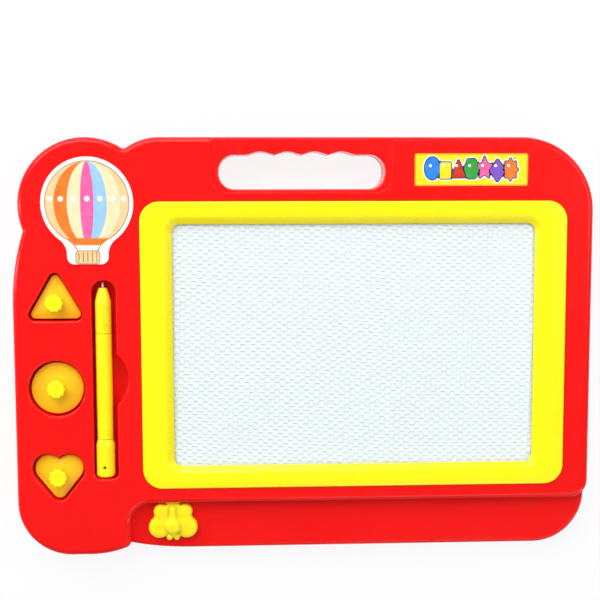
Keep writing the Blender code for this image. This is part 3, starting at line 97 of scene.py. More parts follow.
# Edges of the shell
FACE_EDGE_RADIUS = 0.004
LEDGE_EDGE_RADIUS = 0.003
BACK_EDGE_RADIUS = 0.003
LEDGE_STEP = 0.0003

# Ledge below the screen, on which the eraser knob travels
LEDGE_DEPTH = 0.0347
LEDGE_LEFT = 0.075
LEDGE_CORNER_RADIUS = 0.014
FOOT_CORNER_EASE = 0.0012
RAISED_CORNER_RADIUS = 0.012

# Bezel around the screen
BEZEL_RADIUS = 0.013
BEZEL_FROM_PEN = 0.0163
BEZEL_RIGHT_BORDER = 0.0181
BEZEL_BELOW_HANDLE = 0.0078
BEZEL_ABOVE_LEDGE = 0.01045
BEZEL_SIDE_BAND = 0.0209
BEZEL_TOP_BAND = 0.0149
BEZEL_SLOPE_WIDTH = 0.0055
BEZEL_PROUD = 0.0015
BEZEL_CROWN = 0.0004
BEZEL_EDGE_RADIUS = 0.0012
BEZEL_REBATE = 0.001
BEZEL_FLANGE = 0.003
BEZEL_SKIRT = 0.0015
BEZEL_LIP_HEIGHT = 0.0007
BEZEL_LIP_WIDTH = 0.002
BEZEL_SKIN = 0.0014
WINDOW_RADIUS = 0.0055

# Snap hooks that hold the bezel in the shell
HOOK_WIDTH = 0.008
HOOK_BARB = 0.0012
HOOK_BARB_HEIGHT = 0.0012
HOOK_ROOT = 0.0015
LONG_SIDE_HOOKS = 4
SHORT_SIDE_HOOKS = 2

# Magnetic panel
PANEL_DEPTH = 0.003
PANEL_MARGIN = 0.004
FILM_THICKNESS = 0.0003
CORE_THICKNESS = 0.0018
FLANGE_WIDTH = 0.011
FLANGE_WIDTH_ENDS = 0.007

# Eraser carriage behind the panel
ERASER_START = 0.0019
ERASER_END = 0.0009
CARRIAGE_WIDTH = 0.012
CARRIAGE_RIB = 0.0006
MAGNET_THICKNESS = 0.002
BAR_THICKNESS = 0.0035
ARM_THICKNESS = 0.0024
ARM_LIFT = 0.0016
ARM_WIDTH = 0.010
TONGUE_WIDTH = 0.007
TONGUE_LENGTH = 0.009
RAIL_WIDTH = 0.002
RAIL_GROOVE = 0.0012
RAIL_INSET = 0.0045
RAIL_OVERRUN = 0.004

# Butterfly knob on the eraser
KNOB_GAP = 0.00135
KNOB_LIFT = 0.0006
WING_HEIGHT = 0.0058
LOWER_WING_RADIUS = 0.0074
LOWER_WING_X = 0.0091
LOWER_WING_DROP = 0.0161
UPPER_WING_RADIUS = 0.0052
UPPER_WING_X = 0.0079
UPPER_WING_DROP = 0.0053
ABDOMEN_RADIUS = 0.0022
ABDOMEN_HEIGHT = 0.0075
THORAX_RADIUS = 0.0056
THORAX_DROP = 0.0146
THORAX_HEIGHT = 0.0095
HEAD_WIDTH = 0.0064
KNOB_NAPE_HEIGHT = 0.0046
WEB_HEIGHT = 0.0052
BULB_RADIUS = 0.0022
BULB_X = 0.0024
BULB_DROP = 0.0229
BULB_HEIGHT = 0.005

# Handle opening and the shallow recess around it
HANDLE_FROM_LOBE = 0.0426
HANDLE_SHARE = 0.5924
HANDLE_OPENING = 0.0225
HANDLE_TOP = 0.0116
HANDLE_END_RADIUS = 0.0105
GRIP_BUMP = 0.0022
GRIP_MARGIN = 0.0089
GRIP_BUMPS = 4
GRIP_BUMP_STEPS = 6
GRIP_BUMP_POWER = 1.3
GRIP_SHIFT = -0.0005
HANDLE_RECESS = 0.0008
HANDLE_RECESS_SIDE = 0.0045
HANDLE_RECESS_BELOW = 0.0020
HANDLE_RECESS_RADIUS = 0.010

# Label and picture sticker
LABEL_HEIGHT = 0.0215
LABEL_FROM_HANDLE = 0.0192
LABEL_INTO_CORNER = 0.0038
LABEL_TOP = 0.0107
LABEL_RADIUS = 0.0015
LABEL_GAP = 0.0004
LABEL_THICKNESS = 0.0003
LABEL_RECESS = 0.0006
STICKER_THICKNESS = 0.0002
STICKER_HEAD_RADIUS = 0.0300
STICKER_HEAD_RISE = 0.0015
STICKER_HEAD_SHIFT = 0.0015
STICKER_BASKET_WIDTH = 0.027
STICKER_HEIGHT = 0.070
STICKER_CORNER_RADIUS = 0.005
STICKER_NECK_RADIUS = 0.012

# Pockets for the stamps and the pen
POCKET_DEPTH = 0.0115
POCKET_GAP = 0.0011
STAMP_MARGIN = 0.009
TRIANGLE_GAP_SHARE = 0.0371
CIRCLE_GAP_SHARE = 0.2913
HEART_GAP_SHARE = 0.2785
PEN_FROM_STAMP = 0.0052
PEN_POCKET_WIDTH = 0.0160
PEN_BELOW_LOBE = 0.005
PEN_POCKET_FOOT = 0.0523
PEN_POCKET_FOOT_RADIUS = 0.004
SCOOP_DEPTH = 0.0074
SCOOP_RADIUS = 0.0232
SCOOP_SHARE = 0.4966

# Stamps
TRIANGLE_HALF_BASE = 0.0189
TRIANGLE_HEIGHT = 0.0325
TRIANGLE_CORNER_RADIUS = 0.0032
CIRCLE_RADIUS = 0.0174
HEART_LOBE_RADIUS = 0.0091
HEART_LOBE_X = 0.0071
HEART_TIP_RADIUS = 0.005
HEART_TIP_DROP = 0.0156
HEART_CLEFT_RADIUS = 0.001
HEART_KNOB_DROP = 0.0055
STAMP_TOP_DROP = 0.004
STAMP_EDGE_RADIUS = 0.001
STAMP_RIM = 0.0012
STAMP_SHOULDER = 0.0012
STAMP_SKIN = 0.0015
STAMP_DOME = 0.0011
COLLAR_RADIUS = 0.0046
PEG_RADIUS = 0.002
PEG_LENGTH = 0.0028
KNOB_RADIUS = 0.0058
KNOB_SCALLOP = 0.00035
KNOB_LOBES = 10
KNOB_NECK_RADIUS = 0.0038
KNOB_NECK_HEIGHT = 0.0012
KNOB_HEAD_HEIGHT = 0.0052
KNOB_EDGE_RADIUS = 0.0009

# Pen
PEN_BARREL_RADIUS = 0.0053
PEN_WALL = 0.0011
PEN_TIP_RADIUS = 0.00095
PEN_TIP_LENGTH = 0.0042
PEN_TIP_SEAT = 0.006
PEN_NOSE_FACE_RADIUS = 0.0029
PEN_CONE_LENGTH = 0.0095
PEN_NOSE_LENGTH = 0.030
PEN_CAP_RADIUS = 0.0062
PEN_CAP_LENGTH = 0.0255
PEN_CAP_FLARE = 0.004
PEN_CAP_END_RADIUS = 0.0022
PEN_CAP_FLOOR = 0.011
PEN_SPIGOT = 0.006
PEN_SPIGOT_WALL = 0.0012
PEN_JOINT_CHAMFER = 0.0004
PEN_SIDE_GAP = 0.0009
CORD_HOLE_RADIUS = 0.0011
CORD_HOLE_FROM_END = 0.0068

# Screws, bosses and their cups in the back cover
BOSS_RADIUS = 0.0035
BOSS_SIDES = 10
PILOT_RADIUS = 0.00165
PILOT_DEPTH = 0.012
CUP_RADIUS = 0.0046
CUP_BORE = 0.0034
CUP_FLOOR = 0.0016
SCREW_HOLE_RADIUS = 0.0017

# Places that follow from the sizes above
LEFT_EDGE = -BOARD_WIDTH / 2
RIGHT_EDGE = BOARD_WIDTH / 2
TOP_EDGE = BOARD_HEIGHT / 2
FOOT_EDGE = -BOARD_HEIGHT / 2
LEDGE_EDGE = FOOT_EDGE + FOOT_DROP
LEDGE_WALL_Y = FOOT_EDGE + LEDGE_DEPTH
LEDGE_LEFT_X = LEFT_EDGE + LEDGE_LEFT
FOOT_CORNER_RADIUS = FACE_EDGE_RADIUS + FOOT_CORNER_EASE
STAMP_X_FROM_LEFT = STAMP_MARGIN + TRIANGLE_HALF_BASE
PEN_POCKET_LEFT = STAMP_X_FROM_LEFT + CIRCLE_RADIUS + POCKET_GAP + PEN_FROM_STAMP
BEZEL_LEFT_BORDER = PEN_POCKET_LEFT + PEN_POCKET_WIDTH + BEZEL_FROM_PEN
BEZEL_TOP_BORDER = HANDLE_TOP + HANDLE_OPENING + BEZEL_BELOW_HANDLE
BEZEL_WIDTH = BOARD_WIDTH - BEZEL_LEFT_BORDER - BEZEL_RIGHT_BORDER
BEZEL_HEIGHT = BOARD_HEIGHT - BEZEL_TOP_BORDER - LEDGE_DEPTH - BEZEL_ABOVE_LEDGE
SCREEN_X = RIGHT_EDGE - BEZEL_RIGHT_BORDER - BEZEL_WIDTH / 2
SCREEN_Y = TOP_EDGE - BEZEL_TOP_BORDER - BEZEL_HEIGHT / 2
WINDOW_WIDTH = BEZEL_WIDTH - 2 * BEZEL_SIDE_BAND
WINDOW_HEIGHT = BEZEL_HEIGHT - 2 * BEZEL_TOP_BAND
SHELL_BOTTOM_Z = PARTING_Z + CLEARANCE
REBATE_Z = FACE_Z - BEZEL_REBATE
PANEL_TOP_Z = FACE_Z - PANEL_DEPTH
CORE_TOP_Z = PANEL_TOP_Z - FILM_THICKNESS - ADHESIVE
BACK_FILM_TOP_Z = CORE_TOP_Z - CORE_THICKNESS - ADHESIVE
PANEL_BOTTOM_Z = BACK_FILM_TOP_Z - FILM_THICKNESS
FLANGE_TOP_Z = PANEL_BOTTOM_Z - CLEARANCE
FLANGE_BOTTOM_Z = FLANGE_TOP_Z - WALL
SEAT_WIDTH = BEZEL_WIDTH - 2 * BEZEL_FLANGE
SEAT_HEIGHT = BEZEL_HEIGHT - 2 * BEZEL_FLANGE
SEAT_RADIUS = BEZEL_RADIUS - BEZEL_FLANGE
MAGNET_TOP_Z = PANEL_BOTTOM_Z - CLEARANCE
MAGNET_BOTTOM_Z = MAGNET_TOP_Z - MAGNET_THICKNESS
RIB_TOP_Z = MAGNET_BOTTOM_Z - ADHESIVE
BAR_TOP_Z = RIB_TOP_Z - CARRIAGE_RIB
BAR_BOTTOM_Z = BAR_TOP_Z - BAR_THICKNESS
ARM_BOTTOM_Z = LEDGE_Z + ARM_LIFT
ARM_TOP_Z = ARM_BOTTOM_Z + ARM_THICKNESS
WING_TOP_Z = LEDGE_Z + WING_HEIGHT
ABDOMEN_TOP_Z = LEDGE_Z + ABDOMEN_HEIGHT
THORAX_TOP_Z = LEDGE_Z + THORAX_HEIGHT
NAPE_TOP_Z = LEDGE_Z + KNOB_NAPE_HEIGHT
WEB_TOP_Z = LEDGE_Z + WEB_HEIGHT
BULB_TOP_Z = LEDGE_Z + BULB_HEIGHT
RAIL_TOP_Z = BAR_BOTTOM_Z + RAIL_GROOVE - CLEARANCE
HOOK_LOW_Z = FLANGE_TOP_Z + 2 * CLEARANCE
ERASER_X = SCREEN_X - WINDOW_WIDTH / 2 - ERASER_START
ERASER_TRAVEL = WINDOW_WIDTH + ERASER_START + ERASER_END
POCKET_FLOOR_Z = FACE_Z - POCKET_DEPTH
STAMP_X = LEFT_EDGE + STAMP_X_FROM_LEFT
STICKER_FOOT_Y = TOP_EDGE - LOBE_RADIUS + STICKER_HEAD_RISE + STICKER_HEAD_RADIUS - STICKER_HEIGHT
HEART_LENGTH = HEART_LOBE_RADIUS + HEART_TIP_DROP + HEART_TIP_RADIUS
STAMP_SPARE = STICKER_FOOT_Y - FOOT_EDGE - TRIANGLE_HEIGHT - 2 * CIRCLE_RADIUS - HEART_LENGTH
TRIANGLE_Y = STICKER_FOOT_Y - STAMP_SPARE * TRIANGLE_GAP_SHARE - TRIANGLE_HEIGHT * 2 / 3
CIRCLE_Y = TRIANGLE_Y - TRIANGLE_HEIGHT / 3 - STAMP_SPARE * CIRCLE_GAP_SHARE - CIRCLE_RADIUS
HEART_Y = CIRCLE_Y - CIRCLE_RADIUS - STAMP_SPARE * HEART_GAP_SHARE - HEART_LOBE_RADIUS
STAMP_BOTTOM_Z = POCKET_FLOOR_Z + CLEARANCE
STAMP_TOP_Z = FACE_Z - STAMP_TOP_DROP
COLLAR_Z = STAMP_TOP_Z + STAMP_DOME
PEN_POCKET_RIGHT = LEFT_EDGE + PEN_POCKET_LEFT + PEN_POCKET_WIDTH
PEN_POCKET_TOP = 2 * LOBE_RADIUS + PEN_BELOW_LOBE
PEN_POCKET_LENGTH = BOARD_HEIGHT - PEN_POCKET_TOP - PEN_POCKET_FOOT
SCOOP_DROP = PEN_POCKET_LENGTH * SCOOP_SHARE
PEN_ENDS_LENGTH = PEN_TIP_LENGTH + PEN_NOSE_LENGTH + PEN_CAP_LENGTH + 2 * CLEARANCE
PEN_BARREL_LENGTH = PEN_POCKET_LENGTH - 2 * PEN_SIDE_GAP - PEN_ENDS_LENGTH
PEN_POCKET_TOP_Y = TOP_EDGE - PEN_POCKET_TOP
PEN_X = LEFT_EDGE + PEN_POCKET_LEFT + PEN_SIDE_GAP + PEN_CAP_RADIUS
PEN_Z = POCKET_FLOOR_Z + CLEARANCE + PEN_CAP_RADIUS
PEN_TIP_Y = PEN_POCKET_TOP_Y - PEN_SIDE_GAP
HANDLE_TOP_Y = TOP_EDGE - HANDLE_TOP
HANDLE_LEFT = LOBE_INSET + 2 * LOBE_RADIUS + HANDLE_FROM_LOBE
LABEL_RIGHT = TOP_RIGHT_RADIUS - LABEL_INTO_CORNER
HANDLE_AND_LABEL = BOARD_WIDTH - HANDLE_LEFT - LABEL_FROM_HANDLE - LABEL_RIGHT
HANDLE_WIDTH = HANDLE_AND_LABEL * HANDLE_SHARE
GRIP_BUMP_PITCH = (HANDLE_WIDTH - 2 * HANDLE_END_RADIUS - 2 * GRIP_MARGIN) / GRIP_BUMPS
LABEL_WIDTH = HANDLE_AND_LABEL - HANDLE_WIDTH
LABEL_LEFT = HANDLE_LEFT + HANDLE_WIDTH + LABEL_FROM_HANDLE
HANDLE_CENTRE_X = LEFT_EDGE + HANDLE_LEFT + HANDLE_WIDTH / 2
CUP_TOP_Z = SHELL_BOTTOM_Z - CLEARANCE

# Fine details that only the looks have
MOUTH_RADIUS = 0.0015
HANDLE_MOUTH_RADIUS = 0.0014
RECESS_MOUTH_RADIUS = 0.0005
FLOOR_FILLET = 0.0012
GROOVE_DEPTH = 0.00022
GROOVE_WIDTH = 0.0007
GROOVE_PITCH = 0.0022
CELL_PITCH = 0.00456
COLUMN_PITCH = 0.00338
CELL_WALL = 0.00029
CELL_DROP = 0.0003
CELL_SHARE = 0.60
CELL_TILT = math.radians(-2.2)
PRINT_THICKNESS = 0.00003
POCKET_POINTS = 240
WAIST_DROP = 0.0004
LABEL_BORDER = 0.0009
MOTIF_REACH = 0.0047
MOTIF_STRETCH = 1.45
MOTIF_MARGIN = 0.0118
LINK_DROP = 0.0016
WEB_FINE_WIDTH = 0.0092
MOUTH_END = math.radians(80)
BEZEL_ROUND_SHARE = 0.94
BEZEL_CROWN_STEPS = 9
PILOT_SIDES = 20
BORE_SIDES = 32
PRINT_SHARE = 0.8

# Way down the bezel's slope: the share of its width that is left, and of its fall that is done
SLOPE_PROFILE = (
    (1.0, 0.0), (0.88, 0.035), (0.76, 0.12), (0.60, 0.27), (0.40, 0.49), (0.20, 0.72), (0.06, 0.90)
)

# How the rows of cells sway: how far, and how often in a metre
CELL_SWAY = 0.0011
CELL_SWAY_RATE = 16
CELL_LIFT = 0.0016
CELL_LIFT_RATES = (13, 21)
SLANT_WALL_SHARE = 1.15
CELL_MERGE = 2e-5

# Stamps and their knobs: the dish in a knob's top goes by radius, and by depth in edge radii
STAMP_POINTS = 110
DOME_STEPS = 10
DOME_POWER = 0.8
KNOB_LOBE_POINTS = 10
KNOB_DISH = ((0.62, 0.0), (0.50, 0.25), (0.20, 0.30))
SCALLOP_POWER = 1.4

# Pen
PEN_SIDES = 72
TIP_SIDES = 40
PEN_STEPS = 8
NOSE_EDGE = 0.0005
NOSE_BULGE = 0.35
CONE_EASE = 0.0008
BALL_STEPS = 6
BALL_START = 0.4
GROOVES = 3
NOSE_GROOVES_BACK = 2.5
BARREL_GROOVES_BACK = 2.6
CORD_HOLE_FLARE = 1.25
CORD_HOLE_MOUTH = 0.2
CORD_HOLE_FLARE_END = 0.95

# Butterfly
LOBE_SIDES = 48
LOBE_STEPS = 12
LOBE_SIDE_SHARE = 0.45
DOME_FULLNESS = 0.5
WING_FULLNESS = 0.4
LINK_SIZE = (0.006, 0.009)
LINK_DOWN = 0.0105
LINK_RADIUS = 0.0035
LINK_EDGE_RADIUS = 0.0012
SOFT_VOXEL = 0.00028
SOFT_ROUNDS = 9
HEAD_SHARE = 0.8
STICK_END_SHARE = 0.95
STICK_EDGE_SHARE = 0.85

# Label's motifs: white halo, dark line and glint
CORNER_STEPS = 5
HALO_WIDTH = 0.0014
LINE_WIDTH = 0.0006
GLINT_RADIUS = 0.0010
GLINT_SIDES = 20
GLINT_PLACE = (-0.0013, 0.0026)

# Balloon on the picture sticker
BALLOON_MARGIN = 0.0030
BALLOON_FOOT = math.radians(58)
BALLOON_STEPS = 24
BALLOON_EDGES = (-1.0, -0.80, -0.48, -0.16, 0.16, 0.48, 0.80, 1.0)
OUTLINE_WIDTH = 0.0005
SPOT_RADIUS = 0.0018
SPOT_SIDES = 24
SPOT_RISE = 0.10
SPOT_SPREAD = 0.98
SKIRT_HEIGHT = 0.0045
SKIRT_SHARE = 0.62
BASKET_DROP = 0.0085
BASKET_SIZE = (0.0150, 0.0080)
BASKET_RADIUS = 0.0018
SLATS = 5
SLAT_PITCH = 0.0029
SLAT_SIZE = (0.0006, 0.0066)
SLAT_RADIUS = 0.0002
ROPE_WIDTH = 0.0007
ROPE_TOP_SHARE = 0.60
ROPE_FOOT_X = 0.0062

# Stage, lamps (name, place, size, watts) and the photograph's camera, whose turn from straight
# down is an axis as long as the angle, in degrees
FLOOR_SIZE = 60
FLOOR_DROP = 0.0004
FLOOR_SEEN = 0.88
WORLD_STRENGTH = 0.20
LAMPS = (
    ("key", (-0.70, 1.42, 1.10), (2.0, 1.8), 50.0),
    ("right_fill", (1.10, 0.40, 1.20), (1.0, 1.0), 7.5),
    ("front_fill", (0.50, -1.25, 1.20), (1.2, 1.0), 6.5),
    ("left_strip", (-1.25, 0.10, 0.42), (0.12, 1.0), 4.0),
    ("corner_strip", (0.95, -0.75, 0.60), (0.10, 0.7), 1.8),
)
CAMERA_PLACE = (-0.034445, 0.096974, 0.7255)
CAMERA_TURN = (-5.26715, -2.52345, -0.26425)
CAMERA_SENSOR = 36.0
CAMERA_LENS = 63.94


def arc(centre, radius, start, end):
    """Points from one angle to the other, in radians; a falling angle runs clockwise."""
    steps = max(LEAST_ARC_STEPS, math.ceil(abs(end - start) / ARC_STEP))
    angles = [start + (end - start) * i / steps for i in range(steps + 1)]
    return [Vector((centre[0] + radius * math.cos(a), centre[1] + radius * math.sin(a))) for a in angles]


def corner(x, y, radius, quarter):
    """A quarter round whose centre is x, y, with its first point at quarter times 90 degrees."""
    start = quarter * math.pi / 2
    return arc((x, y), radius, start, start + math.pi / 2)


def round_off(x, y, radius, quarter):
    """The same for an outline whose sharp corner would be at x, y."""
    out_x, out_y = ((1, 1), (-1, 1), (-1, -1), (1, -1))[quarter]
    return corner(x - out_x * radius, y - out_y * radius, radius, quarter)


def angle_of(vector):
    return math.atan2(vector.y, vector.x)


def tidy(points):
    """Drops each point that repeats the one before it."""
    least = BOARD_WIDTH * 1e-6
    return [p for i, p in enumerate(points) if (p - points[i - 1]).length > least]


def inset(points, distance):
    """The outline moved inwards by distance, or outwards where it is negative."""
    moved = []
    for i, point in enumerate(points):
        before = (point - points[i - 1]).normalized()
        after = (points[(i + 1) % len(points)] - point).normalized()
        normal = Vector((-before.y, before.x))
        mitre = (normal + Vector((-after.y, after.x))).normalized()
        moved.append(point + mitre * (distance / mitre.dot(normal)))
    return moved


def rounded_rectangle(x, y, width, height, radius):
    right, top = width / 2 - radius, height / 2 - radius
    return tidy(
        corner(x + right, y - top, radius, 3)
        + corner(x + right, y + top, radius, 0)
        + corner(x - right, y + top, radius, 1)
        + corner(x - right, y - top, radius, 2)
    )


def notch_between(first, first_radius, second, second_radius, fillet):
    """Where an outline leaves one round for another: the angle at which it leaves the first,
    the points of the hollow fillet, and the angle at which it joins the second."""
    across = second - first
    reach, other = first_radius + fillet, second_radius + fillet
    along = (reach**2 - other**2 + across.length**2) / (2 * across.length)
    aside = math.sqrt(reach**2 - along**2)
    ahead = across.normalized()
    centre = first + ahead * along + Vector((ahead.y, -ahead.x)) * aside
    start, end = angle_of(first - centre), angle_of(second - centre)
    if end > start:
        end -= 2 * math.pi
    return angle_of(centre - first), arc(centre, fillet, start, end), angle_of(centre - second)


def upper_outline():
    """The part of the board's outline that shell and raised body share: from the right edge,
    round the handle side and the lobe, to the start of the foot's curve."""
    lobe = Vector((LEFT_EDGE + LOBE_INSET + LOBE_RADIUS, TOP_EDGE - LOBE_RADIUS))
    top_shoulder = Vector((lobe.x + TOP_SHOULDER_OFFSET, TOP_EDGE - TOP_SHOULDER_RADIUS))
    left_shoulder = Vector((LEFT_EDGE + LEFT_SHOULDER_RADIUS, lobe.y - LEFT_SHOULDER_DROP))
    leave, notch, join = notch_between(top_shoulder, TOP_SHOULDER_RADIUS, lobe, LOBE_RADIUS, NOTCH_RADIUS)
    points = round_off(RIGHT_EDGE, TOP_EDGE, TOP_RIGHT_RADIUS, 0)
    points += arc(top_shoulder, TOP_SHOULDER_RADIUS, math.pi / 2, leave)
    points += notch
    leave, notch, ease = notch_between(lobe, LOBE_RADIUS, left_shoulder, LEFT_SHOULDER_RADIUS, NOTCH_RADIUS)
    points += arc(lobe, LOBE_RADIUS, join, leave % (2 * math.pi))
    points += notch
    points += arc(left_shoulder, LEFT_SHOULDER_RADIUS, ease % (2 * math.pi), math.pi)
    points += round_off(LEFT_EDGE, FOOT_EDGE, BOTTOM_LEFT_RADIUS, 2)
    return points


def foot_centre():
    return Vector((LEFT_EDGE + FOOT_OFFSET, FOOT_EDGE + FOOT_RADIUS))


def foot_arc(leave):
    """The foot's curve up to an angle, with its points at the same angles for both outlines."""
    start = -math.pi / 2
    steps = max(1, round((leave - start) / ARC_STEP))
    angles = [start + i * ARC_STEP for i in range(steps)] + [leave]
    return [foot_centre() + Vector((math.cos(a), math.sin(a))) * FOOT_RADIUS for a in angles]


def board_outline():
    """The whole board, with the ledge."""
    foot = foot_centre()
    shoulder = Vector((foot.x + BOTTOM_SHOULDER_OFFSET, LEDGE_EDGE + BOTTOM_SHOULDER_RADIUS))
    leave, notch, join = notch_between(foot, FOOT_RADIUS, shoulder, BOTTOM_SHOULDER_RADIUS, NOTCH_RADIUS)
    points = upper_outline() + foot_arc(leave) + notch
    points += arc(shoulder, BOTTOM_SHOULDER_RADIUS, join, -math.pi / 2)
    points += round_off(RIGHT_EDGE, LEDGE_EDGE, BOTTOM_RIGHT_RADIUS, 3)
    return tidy(points)


def raised_outline():
    """The body that stands above the ledge."""
    foot = foot_centre()
    turn_x = LEDGE_LEFT_X - FOOT_CORNER_RADIUS
    turn_y = foot.y - math.sqrt((FOOT_RADIUS - FOOT_CORNER_RADIUS) ** 2 - (turn_x - foot.x) ** 2)
    turn = Vector((turn_x, turn_y))
    leave = angle_of(turn - foot)
    points = upper_outline() + foot_arc(leave) + arc(turn, FOOT_CORNER_RADIUS, leave, 0)
    hollow = (LEDGE_LEFT_X + LEDGE_CORNER_RADIUS, LEDGE_WALL_Y - LEDGE_CORNER_RADIUS)
    points += arc(hollow, LEDGE_CORNER_RADIUS, math.pi, math.pi / 2)
    points += round_off(RIGHT_EDGE, LEDGE_WALL_Y, RAISED_CORNER_RADIUS, 3)
    return tidy(points)


def handle_outline():
    """The grip opening: a long slot with finger hollows along its upper edge."""
    bottom = HANDLE_TOP_Y - HANDLE_OPENING
    left, right = HANDLE_CENTRE_X - HANDLE_WIDTH / 2, HANDLE_CENTRE_X + HANDLE_WIDTH / 2
    points = round_off(right, bottom, HANDLE_END_RADIUS, 3)
    points += round_off(right, HANDLE_TOP_Y, HANDLE_END_RADIUS, 0)
    grip_end = HANDLE_CENTRE_X + GRIP_SHIFT + GRIP_BUMP_PITCH * GRIP_BUMPS / 2
    steps = GRIP_BUMPS * GRIP_BUMP_STEPS
    for i in range(steps + 1):
        rise = GRIP_BUMP * abs(math.sin(math.pi * i / GRIP_BUMP_STEPS)) ** GRIP_BUMP_POWER
        points.append(Vector((grip_end - GRIP_BUMP_PITCH * i / GRIP_BUMP_STEPS, HANDLE_TOP_Y + rise)))
    points += round_off(left, HANDLE_TOP_Y, HANDLE_END_RADIUS, 1)
    points += round_off(left, bottom, HANDLE_END_RADIUS, 2)
    return tidy(points)


def pen_pocket_outline():
    left = PEN_POCKET_RIGHT - PEN_POCKET_WIDTH
    foot_y = PEN_POCKET_TOP_Y - PEN_POCKET_LENGTH
    round_top = PEN_POCKET_WIDTH / 2
    scoop = (PEN_POCKET_RIGHT + SCOOP_DEPTH - SCOOP_RADIUS, PEN_POCKET_TOP_Y - SCOOP_DROP)
    half_angle = math.acos((SCOOP_RADIUS - SCOOP_DEPTH) / SCOOP_RADIUS)
    return tidy(
        round_off(PEN_POCKET_RIGHT, foot_y, PEN_POCKET_FOOT_RADIUS, 3)
        + arc(scoop, SCOOP_RADIUS, -half_angle, half_angle)
        + round_off(PEN_POCKET_RIGHT, PEN_POCKET_TOP_Y, round_top, 0)
        + round_off(left, PEN_POCKET_TOP_Y, round_top, 1)
        + round_off(left, foot_y, PEN_POCKET_FOOT_RADIUS, 2)
    )


def triangle_outline(grow=0.0):
    """A triangle with rounded corners about its centroid, grown outwards all round."""
    low = -TRIANGLE_HEIGHT / 3
    tips = [
        Vector((-TRIANGLE_HALF_BASE, low)),
        Vector((TRIANGLE_HALF_BASE, low)),
        Vector((0, TRIANGLE_HEIGHT + low)),
    ]
    points = []
    for i, tip in enumerate(tips):
        before = (tip - tips[i - 1]).normalized()
        after = (tips[(i + 1) % len(tips)] - tip).normalized()
        half = (math.pi - before.angle(after)) / 2
        centre = tip + (after - before).normalized() * (TRIANGLE_CORNER_RADIUS / math.sin(half))
        start = angle_of(Vector((before.y, -before.x)))
        points += arc(centre, TRIANGLE_CORNER_RADIUS + grow, start, start + before.angle(after))
    return tidy(points)


def circle_outline(grow=0.0):
    return tidy(arc((0, 0), CIRCLE_RADIUS + grow, 0, 2 * math.pi))


def heart_outline(grow=0.0):
    """Two round lobes and a rounded tip, joined by their common tangents, about the knob's axis."""
    left, right = Vector((-HEART_LOBE_X, HEART_KNOB_DROP)), Vector((HEART_LOBE_X, HEART_KNOB_DROP))
    tip = Vector((0, HEART_KNOB_DROP - HEART_TIP_DROP))
    run = tip - right
    tangent = angle_of(run) + math.acos((HEART_LOBE_RADIUS - HEART_TIP_RADIUS) / run.length)
    lobe_radius, tip_radius = HEART_LOBE_RADIUS + grow, HEART_TIP_RADIUS + grow
    leave, cleft, join = notch_between(right, lobe_radius, left, lobe_radius, HEART_CLEFT_RADIUS)
    points = arc(tip, tip_radius, -math.pi - tangent, tangent)
    points += arc(right, lobe_radius, tangent, leave)
    points += cleft
    points += arc(left, lobe_radius, join, math.pi - tangent)
    return tidy(points)


def sticker_outline():
    """A die-cut balloon: a round head above a small basket, joined by hollow fillets."""
    head = Vector((0, 0))
    low = STICKER_HEAD_RADIUS - STICKER_HEIGHT
    half = STICKER_BASKET_WIDTH / 2
    neck_x = half + STICKER_NECK_RADIUS
    neck_y = -math.sqrt((STICKER_HEAD_RADIUS + STICKER_NECK_RADIUS) ** 2 - neck_x**2)
    right_neck, left_neck = Vector((neck_x, neck_y)), Vector((-neck_x, neck_y))
    top_turn = angle_of(right_neck - head)
    points = round_off(half, low, STICKER_CORNER_RADIUS, 3)
    points += arc(right_neck, STICKER_NECK_RADIUS, math.pi, math.pi + top_turn)
    points += arc(head, STICKER_HEAD_RADIUS, top_turn, math.pi - top_turn)
    points += arc(left_neck, STICKER_NECK_RADIUS, -top_turn, 0)
    points += round_off(-half, low, STICKER_CORNER_RADIUS, 2)
    return tidy(points)


def level(points, z):
    return [(p.x, p.y, z) for p in points]


def add_rings(bm, rings, loop=False):
    """Skins rings of equal length, lowest or innermost first; a loop joins the last ring to
    the first, and otherwise both ends get a cap."""
    made = [[bm.verts.new(p) for p in ring] for ring in rings]
    pairs = list(zip(made, made[1:] + made[:1] if loop else made[1:]))
    for low, high in pairs:
        for i in range(len(low)):
            bm.faces.new((low[i - 1], low[i], high[i], high[i - 1]))
    if not loop:
        bm.faces.new(list(reversed(made[0])))
        bm.faces.new(made[-1])


def add_object(name, bm):
    bmesh.ops.recalc_face_normals(bm, faces=bm.faces)
    mesh = bpy.data.meshes.new(name)
    bm.to_mesh(mesh)
    bm.free()
    obj = bpy.data.objects.new(name, mesh)
    bpy.context.scene.collection.objects.link(obj)
    return obj


def lofted(name, rings, loop=False):
    bm = bmesh.new()
    add_rings(bm, rings, loop)
    return add_object(name, bm)


def prism(name, outline, low, high):
    return lofted(name, [level(outline, low), level(outline, high)])


def box_rings(x0, x1, y0, y1, z0, z1):
    outline = [Vector((x0, y0)), Vector((x1, y0)), Vector((x1, y1)), Vector((x0, y1))]
    return [level(outline, z0), level(outline, z1)]


def circle(x, y, radius, sides, turn=0.0):
    angles = [turn + 2 * math.pi * i / sides for i in range(sides)]
    return [Vector((x + radius * math.cos(a), y + radius * math.sin(a))) for a in angles]


def turned(x, y, profile, sides):
    """Rings about a vertical axis; the profile holds radius and height."""
    return [level(circle(x, y, radius, sides), z) for radius, z in profile]


def hide(obj):
    obj.hide_render = True
    obj["cutter"] = True
    return obj


def combine(obj, other, operation):
    modifier = obj.modifiers.new(f"{operation.lower()}_{other.name}", "BOOLEAN")
    modifier.operation = operation
    modifier.solver = "EXACT"
    modifier.object = hide(other)


def cut(obj, cutter):
    combine(obj, cutter, "DIFFERENCE")


def join(obj, other):
    combine(obj, other, "UNION")


